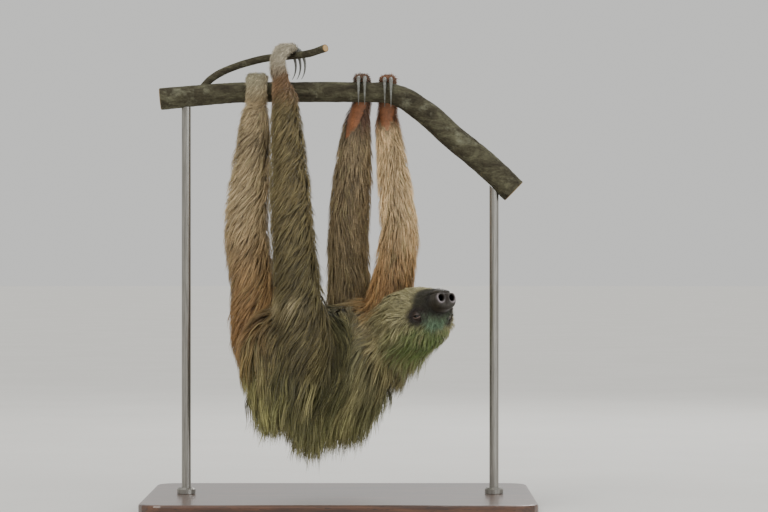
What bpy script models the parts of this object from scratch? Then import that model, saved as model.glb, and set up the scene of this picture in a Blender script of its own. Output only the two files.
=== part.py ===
"""A two-toed sloth that hangs belly up from a cut branch on a display stand, at life size.

Standalone Blender 4.5 script: blender --background --python part.py
Metres, +Z up. The sloth looks towards -Y and its branch runs along X.
The origin is the middle of the base's underside.
The animal's solids reach out to the tips of its coat.
"""

import math

import bmesh
import bpy
from mathutils import Matrix, Vector

# ---- display stand and perch -------------------------------------------------------------------
BASE_LENGTH, BASE_DEPTH, BASE_THICKNESS = 0.50, 0.38, 0.022
BASE_CORNER, BASE_EDGE = 0.030, 0.003
ROD_RADIUS = 0.006
ROD_X = 0.200
COLLAR_RADIUS, COLLAR_HEIGHT = 0.012, 0.008
ROD_SIDES = 20

BRANCH_HEIGHT = 0.544
BRANCH_PATH = (
    Vector((-0.234, 0.000, 0.5350)),
    Vector((-0.160, 0.000, 0.5420)),
    Vector((-0.108, 0.000, BRANCH_HEIGHT)),
    Vector((0.030, 0.000, BRANCH_HEIGHT)),
    Vector((0.074, 0.000, 0.5400)),
    Vector((0.110, 0.000, 0.5180)),
    Vector((0.150, 0.000, 0.4830)),
    Vector((0.191, 0.000, 0.4490)),
    Vector((0.226, 0.000, 0.4150)),
)
BRANCH_RADII = (0.0150, 0.0142, 0.0137, 0.0137, 0.0145, 0.0160, 0.0165, 0.0170, 0.0175)
TWIG_RADIUS = 0.0050
TWIG_HOOK = Vector((-0.066, -0.004, 0.5800))
TWIG_HOOK_RADIUS = 0.0160
GAP = 0.0004
TWIG_PATH = (
    Vector((-0.187, 0.002, 0.5400)),
    Vector((-0.168, 0.010, 0.5620)),
    Vector((-0.140, 0.020, 0.5775)),
    Vector((-0.100, 0.017, 0.5885)),
    TWIG_HOOK + Vector((0.0, 0.0, TWIG_HOOK_RADIUS - TWIG_RADIUS - GAP)),
    Vector((-0.040, -0.026, 0.5925)),
    Vector((-0.018, -0.050, 0.5980)),
)

# ---- skeleton ----------------------------------------------------------------------------------
# Left and right are the animal's own. It hangs belly up, its trunk leads away to the right and its head
# is turned back over its left shoulder. Each paw comes up on one side of its hook's axis and closes over it.
PELVIS = Vector((-0.0715, -0.0715, 0.217))
SHOULDERS = Vector((0.035, 0.042, 0.2245))
NOSE = Vector((0.1365, -0.1157, 0.2765))
HEAD_TURN, HEAD_LIFT = math.radians(24), math.radians(12)

LIMBS = {
    "right_hind": {
        "root": Vector((-0.101, -0.042, 0.222)),
        "hinge": Vector((-0.1205, -0.039, 0.362)),
        "wrist": Vector((-0.1090, -0.028, 0.517)),
        "hook": Vector((-0.108, 0.000, BRANCH_HEIGHT)),
        "axis": Vector((-1.0, 0.0, 0.0)),
        "hook_radius": 0.0137,
    },
    "left_hind": {
        "root": Vector((-0.047, -0.101, 0.219)),
        "hinge": Vector((-0.060, -0.083, 0.375)),
        "wrist": Vector((-0.0710, -0.036, 0.536)),
        "hook": TWIG_HOOK,
        "axis": Vector((-0.77, 0.63, 0.0)).normalized(),
        "hook_radius": TWIG_HOOK_RADIUS,
    },
    "right_fore": {
        "root": Vector((0.013, 0.070, 0.2245)),
        "hinge": Vector((0.010, 0.056, 0.357)),
        "wrist": Vector((0.0220, 0.027, 0.509)),
        "hook": Vector((0.028, 0.000, BRANCH_HEIGHT)),
        "axis": Vector((1.0, 0.0, 0.0)),
        "hook_radius": 0.0137,
    },
    "left_fore": {
        "root": Vector((0.0585, 0.016, 0.227)),
        "hinge": Vector((0.077, -0.006, 0.362)),
        "wrist": Vector((0.0625, 0.027, 0.509)),
        "hook": Vector((0.062, 0.000, 0.5420)),
        "axis": Vector((1.0, 0.0, 0.0)),
        "hook_radius": 0.0143,
    },
}
# Half-thickness of a limb with its coat: at its seat in the trunk, its root, the middle of the upper limb,
# the knee or elbow, the middle of the lower limb, and the ankle or wrist.
LIMB_RADII = {
    "hind": (0.024, 0.044, 0.0335, 0.0275, 0.0240, 0.0162),
    "fore": (0.024, 0.040, 0.0310, 0.0265, 0.0245, 0.0170),
}
SEAT_DEPTH = 0.045
PAW_HALF_WIDTH = {"hind": 0.0145, "fore": 0.0135}
PAW_DEPTH_START, PAW_DEPTH_END = 0.0082, 0.0054
PAW_START, PAW_END = math.radians(-38), math.radians(88)
PAW_MIDDLE = math.radians(20)
PAW_TAPER = 0.12
CLAWS = {"hind": 3, "fore": 2}
CLAW_SPACING = 0.0080
CLAW_BASE_RADIUS, CLAW_TIP_RADIUS = 0.0034, 0.0009
CLAW_START, CLAW_END = math.radians(80), math.radians(232)
CLAW_SPREAD = 0.004

# Body sections: centre, half-width, height towards the belly, and drop to the tips of the hanging back hair.
DROP_TAPER = 0.30
TRUNK_SIDE = Vector((0.72, -0.69, 0.0)).normalized()
TRUNK_SECTIONS = (
    (Vector((-0.112, -0.106, 0.205)), 0.014, 0.020, 0.045),
    (Vector((-0.103, -0.101, 0.212)), 0.034, 0.036, 0.100),
    (Vector((-0.089, -0.090, 0.218)), 0.048, 0.048, 0.126),
    (PELVIS, 0.062, 0.058, 0.117),
    (Vector((-0.0455, -0.043, 0.205)), 0.066, 0.068, 0.140),
    (Vector((-0.0195, -0.013, 0.200)), 0.068, 0.072, 0.135),
    (Vector((0.008, 0.015, 0.208)), 0.066, 0.070, 0.135),
    (SHOULDERS, 0.060, 0.060, 0.144),
    (Vector((0.050, 0.058, 0.235)), 0.048, 0.048, 0.128),
    (Vector((0.062, 0.070, 0.238)), 0.028, 0.034, 0.075),
)
NECK_SIDE = Vector((0.69, 0.72, 0.0)).normalized()
NECK_SECTIONS = (
    (Vector((0.034, 0.046, 0.232)), 0.050, 0.044, 0.090),
    (Vector((0.060, 0.024, 0.240)), 0.052, 0.040, 0.082),
    (Vector((0.0867, -0.004, 0.2500)), 0.050, 0.038, 0.068),
)
# Head sections: distance behind the nose tip, centre height, half-width, height above and below that centre.
HEAD_SECTIONS = (
    (0.000, 0.0000, 0.0125, 0.0105, 0.0095),
    (0.006, 0.0000, 0.0155, 0.0135, 0.0130),
    (0.015, -0.0005, 0.0165, 0.0145, 0.0165),
    (0.027, 0.0000, 0.0190, 0.0165, 0.0195),
    (0.038, 0.0010, 0.0240, 0.0210, 0.0220),
    (0.048, 0.0025, 0.0300, 0.0280, 0.0270),
    (0.060, 0.0040, 0.0375, 0.0400, 0.0340),
    (0.076, 0.0050, 0.0450, 0.0540, 0.0390),
    (0.095, 0.0050, 0.0520, 0.0640, 0.0420),
    (0.115, 0.0040, 0.0550, 0.0680, 0.0420),
    (0.135, 0.0020, 0.0540, 0.0660, 0.0400),
)
EYE_BACK, EYE_OUT, EYE_UP, EYE_RADIUS = 0.0465, 0.0212, 0.0122, 0.0064
NOSTRIL_BACK, NOSTRIL_OUT, NOSTRIL_UP, NOSTRIL_RADIUS = -0.0005, 0.0070, 0.0010, 0.0033
EAR_BACK, EAR_OUT, EAR_UP = 0.084, 0.0430, 0.0150
EAR_RADII = (0.0120, 0.0070, 0.0140)
NOSE_PAD_DEPTH = 0.0075
# Where the solids part: the limbs at a share of the upper limb, the neck, and the head behind its nose tip.
ROOT_CUT_SHARE = {"hind": 0.56, "fore": 0.62}
ROOT_CUT_RADIUS = 0.046
NECK_CUT = Vector((0.078, 0.006, 0.242))
NECK_CUT_NORMAL = Vector((0.8, -0.6, 0.0))
NECK_CUT_RADIUS = 0.125
HEAD_CUT_BACK, HEAD_CUT_RADIUS, NOSE_CUT_RADIUS = 0.104, 0.120, 0.050
HINGE_CUT_RADIUS = 0.060
WRIST_CUT_SHARE, WRIST_CUT_RADIUS = 0.93, 0.040

# ---- mesh density ------------------------------------------------------------------------------
RING_SIDES = 20
VOXEL = 0.0030
SMOOTH_STEPS = 10
KEPT_SHARE = 0.0257
FACE_CENTRE_BACK, FACE_REACH, FACE_FADE = 0.030, 0.035, 0.030
FACE_SHARE, FACE_HOLD = 0.9, 0.000002
CUT_SIDES = 24

# Colour, roughness and metallic value of each finish.
FINISHES = {
    "coat": ((0.42, 0.31, 0.19), 0.85, 0.0),
    "nose": ((0.12, 0.085, 0.075), 0.45, 0.0),
    "eye": ((0.03, 0.02, 0.015), 0.10, 0.0),
    "claw": ((0.46, 0.42, 0.35), 0.40, 0.0),
    "bark": ((0.22, 0.18, 0.14), 0.90, 0.0),
    "stand_wood": ((0.10, 0.06, 0.04), 0.45, 0.0),
    "stand_metal": ((0.30, 0.29, 0.27), 0.35, 1.0),
}


def head_frame():
    """Unit vectors of the upside-down head: forward out of the nose, left, and up to the crown."""
    forward = Vector((
        math.sin(HEAD_TURN) * math.cos(HEAD_LIFT),
        -math.cos(HEAD_TURN) * math.cos(HEAD_LIFT),
        math.sin(HEAD_LIFT),
    ))
    left = Vector((-math.cos(HEAD_TURN), -math.sin(HEAD_TURN), 0.0))
    return forward, left, forward.cross(left)


FORWARD, LEFT, UP = head_frame()


def on_head(back, out, up):
    """The point this far behind the nose tip, out to the head's left and up to its crown."""
    return NOSE - FORWARD * back + LEFT * out + UP * up


def clear_scene():
    for old in list(bpy.data.objects):
        bpy.data.objects.remove(old)


def collection(name, hidden=False):
    made = bpy.data.collections.new(name)
    made.hide_render = hidden
    bpy.context.scene.collection.children.link(made)
    return made


def finish(name):
    colour, roughness, metallic = FINISHES[name]
    material = bpy.data.materials.get(name)
    if material is None:
        material = bpy.data.materials.new(name)
        material.use_nodes = True
        shader = material.node_tree.nodes["Principled BSDF"]
        shader.inputs["Base Color"].default_value = (*colour, 1.0)
        shader.inputs["Roughness"].default_value = roughness
        shader.inputs["Metallic"].default_value = metallic
        material.diffuse_color = (*colour, 1.0)
    return material


def add_object(name, data, group, finish_name=None):
    made = bpy.data.objects.new(name, data)
    group.objects.link(made)
    if finish_name:
        data.materials.clear()
        data.materials.append(finish(finish_name))
    return made


def mesh_object(name, bm, group, finish_name=None):
    data = bpy.data.meshes.new(name)
    bm.to_mesh(data)
    bm.free()
    return add_object(name, data, group, finish_name)


def evaluated_mesh(source):
    """The mesh of the object with its modifiers applied, in world space."""
    bpy.context.view_layer.update()
    graph = bpy.context.evaluated_depsgraph_get()
    data = bpy.data.meshes.new_from_object(source.evaluated_get(graph))
    data.transform(source.matrix_world)
    return data


def smooth_curve(points, steps):
    """Values on a smooth curve through the points, which may be numbers or vectors."""
    first, last = points[0] * 2 - points[1], points[-1] * 2 - points[-2]
    padded = [first, *points, last]
    found = []
    for a, b, c, d in zip(padded, padded[1:], padded[2:], padded[3:]):
        for step in range(steps):
            t = step / steps
            found.append(0.5 * (b * 2 + (c - a) * t + (a * 2 - b * 5 + c * 4 - d) * t**2
                                + (b * 3 - a - c * 3 + d) * t**3))
    found.append(points[-1])
    return found


def add_loft(bm, sections, drop_taper=0.0):
    """A closed tube through rings. A section is its centre and its half-axes across, up and down as vectors.

    Its lower half narrows by the share drop_taper towards the bottom, as hanging hair does.
    """
    rings = []
    for centre, across, rise, drop in sections:
        ring = []
        for side in range(RING_SIDES):
            angle = math.tau * side / RING_SIDES
            height = abs(math.sin(angle))
            reach, taper = (rise, 0.0) if math.sin(angle) > 0 else (drop, drop_taper)
            width = math.cos(angle) * (1.0 - taper * height**2)
            ring.append(bm.verts.new(centre + across * width + reach * height))
        rings.append(ring)
    for ring, following in zip(rings, rings[1:]):
        for side in range(RING_SIDES):
            after = (side + 1) % RING_SIDES
            bm.faces.new((ring[side], ring[after], following[after], following[side]))
    bm.faces.new(reversed(rings[0]))
    bm.faces.new(rings[-1])


def round_sections(points, radii, steps=3):
    """Sections of a round tube on a smooth curve through the points."""
    path = smooth_curve(points, steps)
    sizes = smooth_curve(radii, steps)
    sections = []
    across = Vector((1.0, 0.0, 0.0))
    for index, (centre, size) in enumerate(zip(path, sizes)):
        tangent = (path[min(index + 1, len(path) - 1)] - path[max(index - 1, 0)]).normalized()
        across = (across - tangent * across.dot(tangent)).normalized()
        rise = tangent.cross(across)
        sections.append((centre, across * size, rise * size, rise * -size))
    return sections


def body_sections(rows, side):
    """Upright sections whose width runs along the side vector."""
    return [
        (centre, side * width, Vector((0.0, 0.0, rise)), Vector((0.0, 0.0, -drop)))
        for centre, width, rise, drop in rows
    ]


def head_sections():
    return [
        (on_head(back, 0.0, height), LEFT * width, UP * above, UP * -below)
        for back, height, width, above, below in HEAD_SECTIONS
    ]


def hook_point(limb, angle, radius):
    """A point round the limb's hook: at angle 0 on the side that the limb comes up, at 90 degrees on top."""
    over = Vector((0.0, 0.0, 1.0))
    near = over.cross(limb["axis"]).normalized()
    return limb["hook"] + (near * math.cos(angle) + over * math.sin(angle)) * radius


def limb_sections(kind, limb):
    """Sections from inside the trunk along the limb, then flattened over the perch as the paw."""
    middle = PELVIS if kind == "hind" else SHOULDERS
    points = [
        limb["root"].lerp(middle, 0.4) - Vector((0.0, 0.0, SEAT_DEPTH)),
        limb["root"],
        limb["root"].lerp(limb["hinge"], 0.5),
        limb["hinge"],
        limb["hinge"].lerp(limb["wrist"], 0.5),
        limb["wrist"],
    ]
    sections = round_sections(points, LIMB_RADII[kind])
    steps = 6
    for step in range(steps + 1):
        t = step / steps
        depth = PAW_DEPTH_START + (PAW_DEPTH_END - PAW_DEPTH_START) * t
        centre = hook_point(limb, PAW_START + (PAW_END - PAW_START) * t, limb["hook_radius"] + depth)
        outward = (centre - limb["hook"]).normalized()
        across = limb["axis"] * PAW_HALF_WIDTH[kind] * (1.0 - PAW_TAPER * t)
        sections.append((centre, across, outward * depth, outward * -depth))
    return align(sections)


def align(sections):
    """Turns each ring to start on the side where the ring before it starts, so that no tube is twisted."""
    aligned = [sections[0]]
    for centre, across, rise, drop in sections[1:]:
        before = aligned[-1][1].normalized()
        choices = (
            (across, rise, drop),
            (-across, drop, rise),
            (rise, -across, across),
            (drop, across, -across),
        )
        best = max(choices, key=lambda choice: choice[0].normalized().dot(before))
        aligned.append((centre, *best))
    return aligned


def kind_of(limb_name):
    return limb_name.split("_")[1]


def animal_form(forms):
    """The whole animal as one smooth skin: lofts fused by a voxel remesh, then smoothed."""
    bm = bmesh.new()
    add_loft(bm, body_sections(TRUNK_SECTIONS, TRUNK_SIDE), DROP_TAPER)
    add_loft(bm, body_sections(NECK_SECTIONS, NECK_SIDE))
    add_loft(bm, head_sections())
    for name, limb in LIMBS.items():
        add_loft(bm, limb_sections(kind_of(name), limb))
    bmesh.ops.recalc_face_normals(bm, faces=bm.faces)
    form = mesh_object("animal_form", bm, forms)
    fuse = form.modifiers.new("fuse", "REMESH")
    fuse.mode = "VOXEL"
    fuse.voxel_size = VOXEL
    soften = form.modifiers.new("soften", "SMOOTH")
    soften.factor = 0.5
    soften.iterations = SMOOTH_STEPS
    return thinned(form, forms)


def thinned(form, forms):
    """The form with fewer triangles: the face keeps a greater share than the body."""
    data = evaluated_mesh(form)
    made = add_object("animal_thinned", data, forms)
    face_centre = on_head(FACE_CENTRE_BACK, 0.0, 0.0)
    weights = made.vertex_groups.new(name="face")
    for vertex in data.vertices:
        beyond = (vertex.co - face_centre).length - FACE_REACH
        near = 1.0 - min(1.0, max(0.0, beyond / FACE_FADE))
        weights.add([vertex.index], 1.0 - FACE_SHARE * near, "REPLACE")
    thin = made.modifiers.new("thin", "DECIMATE")
    thin.ratio = KEPT_SHARE
    thin.vertex_group = "face"
    thin.vertex_group_factor = FACE_HOLD
    thin.use_collapse_triangulate = True
    return made


def tube_curve(name, path, radii, group, sides=3, smooth_steps=3):
    """A tapering tube on a smooth curve through the path's points."""
    data = bpy.data.curves.new(name, "CURVE")
    data.dimensions = "3D"
    data.bevel_depth = 1.0
    data.bevel_resolution = sides
    data.use_fill_caps = True
    points = smooth_curve(list(path), smooth_steps)
    sizes = smooth_curve(list(radii), smooth_steps)
    spline = data.splines.new("POLY")
    spline.points.add(len(points) - 1)
    for point, place, size in zip(spline.points, points, sizes):
        point.co = (*place, 1.0)
        point.radius = size
    return add_object(name, data, group)


def curve_to_mesh(curve, group, finish_name=None):
    """The curve's tube as a closed mesh, under the curve's own name."""
    data = evaluated_mesh(curve)
    bm = bmesh.new()
    bm.from_mesh(data)
    bmesh.ops.remove_doubles(bm, verts=bm.verts, dist=1e-6)
    bmesh.ops.recalc_face_normals(bm, faces=bm.faces)
    name = curve.name
    bpy.data.objects.remove(curve)
    return mesh_object(name, bm, group, finish_name)


def disc(name, centre, normal, radius, group):
    """A thin disc that parts the animal across one of its joints."""
    bm = bmesh.new()
    turn = Vector((0, 0, 1)).rotation_difference(normal).to_matrix().to_4x4()
    bmesh.ops.create_cone(
        bm, cap_ends=True, segments=CUT_SIDES, radius1=radius, radius2=radius, depth=GAP,
        matrix=Matrix.Translation(centre) @ turn,
    )
    return mesh_object(name, bm, group)


def ball(name, centre, radius, group, finish_name=None, segments=16):
    bm = bmesh.new()
    bmesh.ops.create_uvsphere(
        bm, u_segments=segments, v_segments=segments // 2 + 2, radius=radius,
        matrix=Matrix.Translation(centre),
    )
    return mesh_object(name, bm, group, finish_name)


def claw_paths():
    """Each claw's name, its points and its radii, hooked over the perch from the paw's end."""
    steps = 7
    for name, limb in LIMBS.items():
        count = CLAWS[kind_of(name)]
        for index in range(count):
            offset = limb["axis"] * CLAW_SPACING * (index - (count - 1) / 2)
            points, radii = [], []
            for step in range(steps + 1):
                t = step / steps
                angle = CLAW_START + (CLAW_END - CLAW_START) * t
                radius = CLAW_BASE_RADIUS + (CLAW_TIP_RADIUS - CLAW_BASE_RADIUS) * t
                away = limb["hook_radius"] + CLAW_BASE_RADIUS + 2 * GAP + CLAW_SPREAD * t * t
                points.append(hook_point(limb, angle, away) + offset)
                radii.append(radius)
            yield f"{name}_claw_{index + 1}", points, radii


def add_claws(parts, cutters):
    for name, points, radii in claw_paths():
        curve_to_mesh(tube_curve(name, points, radii, parts, sides=1, smooth_steps=1), parts, "claw")
        fat = [radius + GAP for radius in radii]
        curve_to_mesh(tube_curve("clear_" + name, points, fat, cutters, sides=1, smooth_steps=1), cutters)


def add_eyes(parts, cutters):
    for side, sign in (("left", 1), ("right", -1)):
        centre = on_head(EYE_BACK, EYE_OUT * sign, EYE_UP)
        ball(f"{side}_eye", centre, EYE_RADIUS, parts, "eye", segments=12)
        ball(f"{side}_socket", centre, EYE_RADIUS + GAP, cutters, segments=12)
        ball(f"{side}_nostril", on_head(NOSTRIL_BACK, NOSTRIL_OUT * sign, NOSTRIL_UP), NOSTRIL_RADIUS,
             cutters, segments=10)


def add_ears(parts, cutters):
    """Small oval ears set into the sides of the head, which show a little out of the coat."""
    for side, sign in (("left", 1), ("right", -1)):
        centre = on_head(EAR_BACK, EAR_OUT * sign, EAR_UP)
        turn = Matrix((FORWARD, LEFT, UP)).transposed().to_4x4()
        for name, spread, group, finish_name in (
            (f"{side}_ear", 0.0, parts, "coat"),
            (f"{side}_ear_pocket", GAP, cutters, None),
        ):
            scale = Matrix.Diagonal((*[radius + spread for radius in EAR_RADII], 1.0))
            bm = bmesh.new()
            bmesh.ops.create_uvsphere(
                bm, u_segments=12, v_segments=8, radius=1.0, matrix=Matrix.Translation(centre) @ turn @ scale,
            )
            mesh_object(name, bm, group, finish_name)


def add_perch(parts, cutters):
    """The cut branch and the twig that grows from it, each with a slightly fatter cutter for the paws."""
    for name, path, radii, fat_name in (
        ("perch_branch", BRANCH_PATH, BRANCH_RADII, "branch_clear"),
        ("perch_twig", TWIG_PATH, [TWIG_RADIUS] * len(TWIG_PATH), "twig_clear"),
    ):
        curve_to_mesh(tube_curve(name, path, radii, parts), parts, "bark")
        fat = [radius + GAP for radius in radii]
        curve_to_mesh(tube_curve(fat_name, path, fat, cutters), cutters)
    cut(bpy.data.objects["perch_twig"], bpy.data.objects["branch_clear"])
    apply_modifiers(bpy.data.objects["perch_twig"])


def cut(target, cutter):
    made = target.modifiers.new("cut_" + cutter.name, "BOOLEAN")
    made.operation = "DIFFERENCE"
    made.object = cutter


def apply_modifiers(target):
    data = evaluated_mesh(target)
    target.modifiers.clear()
    target.matrix_world = Matrix.Identity(4)
    target.data = data


def part_places(limb_name):
    """The names of a limb's three pieces, each with the place that its middle lies near."""
    limb = LIMBS[limb_name]
    side, kind = limb_name.split("_")
    upper, lower, paw = {"hind": ("thigh", "shank", "foot"), "fore": ("upper_arm", "forearm", "hand")}[kind]
    return {
        f"{side}_{upper}": limb["root"].lerp(limb["hinge"], 0.7),
        f"{side}_{lower}": limb["hinge"].lerp(limb["wrist"], 0.5),
        f"{side}_{paw}": hook_point(limb, PAW_MIDDLE, limb["hook_radius"] + PAW_DEPTH_START),
    }


def split(form, planes, places, group, finish_name="coat"):
    """Parts the form across the planes. The largest piece near each place takes that place's name."""
    helpers = []
    for index, (centre, normal, radius) in enumerate(planes):
        helper = disc(f"{form.name}_plane_{index}", centre, normal.normalized(), radius, group)
        helpers.append(helper)
        cut(form, helper)
    bm = bmesh.new()
    bm.from_mesh(evaluated_mesh(form))
    bmesh.ops.remove_doubles(bm, verts=bm.verts, dist=2e-6)
    bmesh.ops.triangulate(bm, faces=bm.faces)
    largest = {}
    for island in islands(bm):
        volume, centre = volume_and_centre(island)
        name = min(places, key=lambda place: (places[place] - centre).length)
        if volume > largest.get(name, (0.0, None))[0]:
            largest[name] = (volume, island)
    missing = set(places) - set(largest)
    if missing:
        raise RuntimeError(f"the cuts left no piece for {sorted(missing)}")
    made = {}
    for name, (_, island) in largest.items():
        piece = bmesh.new()
        copied = {}
        for face in island:
            for vertex in face.verts:
                if vertex not in copied:
                    copied[vertex] = piece.verts.new(vertex.co)
            piece.faces.new([copied[vertex] for vertex in face.verts])
        made[name] = mesh_object(name, piece, group, finish_name)
    bm.free()
    for helper in helpers:
        bpy.data.objects.remove(helper)
    bpy.data.objects.remove(form)
    return made


def part_animal(form, cutters, parts):
    """Clears the form round the perch, claws and eyes, then parts the limbs, and each piece after that."""
    for cutter in cutters.objects:
        cut(form, cutter)
    roots = []
    wholes = {"body": SHOULDERS.lerp(PELVIS, 0.5) - Vector((0.0, 0.0, 0.03))}
    for name, limb in LIMBS.items():
        upper = limb["hinge"] - limb["root"]
        roots.append((limb["root"] + upper * ROOT_CUT_SHARE[kind_of(name)], upper, ROOT_CUT_RADIUS))
        wholes[name + "_limb"] = limb["hinge"].lerp(limb["wrist"], 0.3)
    pieces = split(form, roots, wholes, parts)
    for name, limb in LIMBS.items():
        upper = (limb["hinge"] - limb["root"]).normalized()
        lower = (limb["wrist"] - limb["hinge"]).normalized()
        ends = (
            (limb["hinge"], upper + lower, HINGE_CUT_RADIUS),
            (limb["hinge"].lerp(limb["wrist"], WRIST_CUT_SHARE), lower, WRIST_CUT_RADIUS),
        )
        split(pieces[name + "_limb"], ends, part_places(name), parts)
    trunk_end = ((NECK_CUT, NECK_CUT_NORMAL, NECK_CUT_RADIUS),)
    middles = {"trunk": wholes["body"], "head_and_neck": on_head(HEAD_CUT_BACK * 0.7, 0.0, 0.0)}
    halves = split(pieces["body"], trunk_end, middles, parts)
    ends = (
        (on_head(HEAD_CUT_BACK, 0.0, 0.0), FORWARD, HEAD_CUT_RADIUS),
        (on_head(NOSE_PAD_DEPTH, 0.0, 0.0), FORWARD, NOSE_CUT_RADIUS),
    )
    middles = {
        "neck": on_head(HEAD_CUT_BACK * 1.2, 0.0, 0.0),
        "head": on_head(HEAD_CUT_BACK * 0.7, 0.0, 0.0),
        "nose": on_head(NOSE_PAD_DEPTH / 2, 0.0, 0.0),
    }
    face = split(halves["head_and_neck"], ends, middles, parts)
    face["nose"].data.materials[0] = finish("nose")


def islands(bm):
    """Lists of the faces that hang together, in the order of the mesh's faces."""
    for face in bm.faces:
        face.tag = False
    for seed in bm.faces:
        if seed.tag:
            continue
        seed.tag = True
        island = [seed]
        for face in island:
            for edge in face.edges:
                for neighbour in edge.link_faces:
                    if not neighbour.tag:
                        neighbour.tag = True
                        island.append(neighbour)
        yield island


def volume_and_centre(faces):
    volume, centre = 0.0, Vector()
    for face in faces:
        a, b, c = (vertex.co for vertex in face.verts)
        share = a.dot(b.cross(c)) / 6
        volume += share
        centre += (a + b + c) * share / 4
    return volume, centre / volume


def add_stand(parts):
    """A flat base with a rounded outline, and a rod with a collar under each end of the branch."""
    bm = bmesh.new()
    bmesh.ops.create_cube(
        bm, size=1.0,
        matrix=Matrix.Translation((0, 0, BASE_THICKNESS / 2)) @ Matrix.Diagonal(
            (BASE_LENGTH, BASE_DEPTH, BASE_THICKNESS, 1.0)),
    )
    uprights = [edge for edge in bm.edges if abs(edge.verts[0].co.z - edge.verts[1].co.z) > GAP]
    bmesh.ops.bevel(bm, geom=uprights, offset=BASE_CORNER, segments=5, profile=0.5, affect="EDGES")
    base = mesh_object("stand_base", bm, parts, "stand_wood")
    edge = base.modifiers.new("edge", "BEVEL")
    edge.width = BASE_EDGE
    edge.segments = 2
    edge.limit_method = "ANGLE"
    edge.angle_limit = math.radians(60)
    for side, x in (("left", -ROD_X), ("right", ROD_X)):
        add_rod(f"stand_rod_{side}", x, parts)


def add_rod(name, x, parts):
    """A turned rod with a collar at its foot, from the base up to the branch, which is cut from its top."""
    top, foot = inside_branch(x), BASE_THICKNESS + GAP
    profile = (
        (0.0, top),
        (ROD_RADIUS, top),
        (ROD_RADIUS, foot + COLLAR_HEIGHT),
        (COLLAR_RADIUS * 0.8, foot + COLLAR_HEIGHT),
        (COLLAR_RADIUS, foot + COLLAR_HEIGHT * 0.7),
        (COLLAR_RADIUS, foot),
        (0.0, foot),
    )
    bm = bmesh.new()
    chain = [bm.verts.new((radius, 0.0, height)) for radius, height in profile]
    for pair in zip(chain, chain[1:]):
        bm.edges.new(pair)
    rod = mesh_object(name, bm, parts, "stand_metal")
    rod.location = (x, 0.0, 0.0)
    turn = rod.modifiers.new("turn", "SCREW")
    turn.steps = turn.render_steps = ROD_SIDES
    turn.use_merge_vertices = True
    turn.merge_threshold = 0.00001
    cut(rod, bpy.data.objects["branch_clear"])


def inside_branch(x):
    """A height inside the branch over this x."""
    for (a, b), radius in zip(zip(BRANCH_PATH, BRANCH_PATH[1:]), BRANCH_RADII):
        if a.x <= x <= b.x:
            return a.z + (b.z - a.z) * (x - a.x) / (b.x - a.x) - radius * 0.5
    raise ValueError(f"the branch doesn't pass over {x}")


def shade(parts):
    for piece in parts.objects:
        piece.data.shade_smooth()
        piece.data.set_sharp_from_angle(angle=math.radians(50))


def main():
    clear_scene()
    parts = collection("two_toed_sloth")
    forms = collection("forms", hidden=True)
    cutters = collection("cutters", hidden=True)
    form = animal_form(forms)
    add_perch(parts, cutters)
    add_claws(parts, cutters)
    add_eyes(parts, cutters)
    add_ears(parts, cutters)
    part_animal(form, cutters, parts)
    add_stand(parts)
    shade(parts)
    for helper in [*forms.objects, *cutters.objects]:
        helper.hide_render = True
        helper.display_type = "WIRE"


main()
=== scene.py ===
import math

import bmesh
import bpy
import numpy as np
from mathutils import Matrix, Vector
from mathutils.bvhtree import BVHTree
from mathutils.kdtree import KDTree


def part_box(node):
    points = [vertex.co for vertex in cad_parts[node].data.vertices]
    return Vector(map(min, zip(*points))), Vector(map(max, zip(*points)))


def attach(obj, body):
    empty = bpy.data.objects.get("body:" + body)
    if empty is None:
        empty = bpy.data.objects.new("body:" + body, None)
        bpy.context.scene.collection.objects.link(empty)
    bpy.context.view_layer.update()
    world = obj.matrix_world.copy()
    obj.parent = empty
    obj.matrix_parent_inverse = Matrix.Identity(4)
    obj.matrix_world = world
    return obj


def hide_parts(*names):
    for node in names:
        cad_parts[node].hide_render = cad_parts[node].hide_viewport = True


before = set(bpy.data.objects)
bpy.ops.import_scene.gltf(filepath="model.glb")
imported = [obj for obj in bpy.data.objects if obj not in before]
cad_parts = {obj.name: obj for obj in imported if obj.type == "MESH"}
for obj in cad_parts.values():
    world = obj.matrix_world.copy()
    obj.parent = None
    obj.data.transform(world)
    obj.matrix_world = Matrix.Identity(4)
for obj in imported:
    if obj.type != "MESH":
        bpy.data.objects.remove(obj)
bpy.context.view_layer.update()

# A life-size two-toed sloth that hangs belly up from a cut branch, on a display stand. Metres, Z up.
# One skin takes the place of the flesh solids, and the coat is closed tufts of mesh that grow from it.
RANDOM = np.random.default_rng(20)

# ---- skeleton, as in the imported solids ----
PELVIS = Vector((-0.0715, -0.0715, 0.217))
SHOULDERS = Vector((0.035, 0.042, 0.2245))
NOSE = Vector((0.1365, -0.1157, 0.2765))
HEAD_TURN, HEAD_LIFT = math.radians(24), math.radians(12)
TWIG_HOOK = Vector((-0.066, -0.004, 0.5800))
GAP = 0.0004
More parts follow.
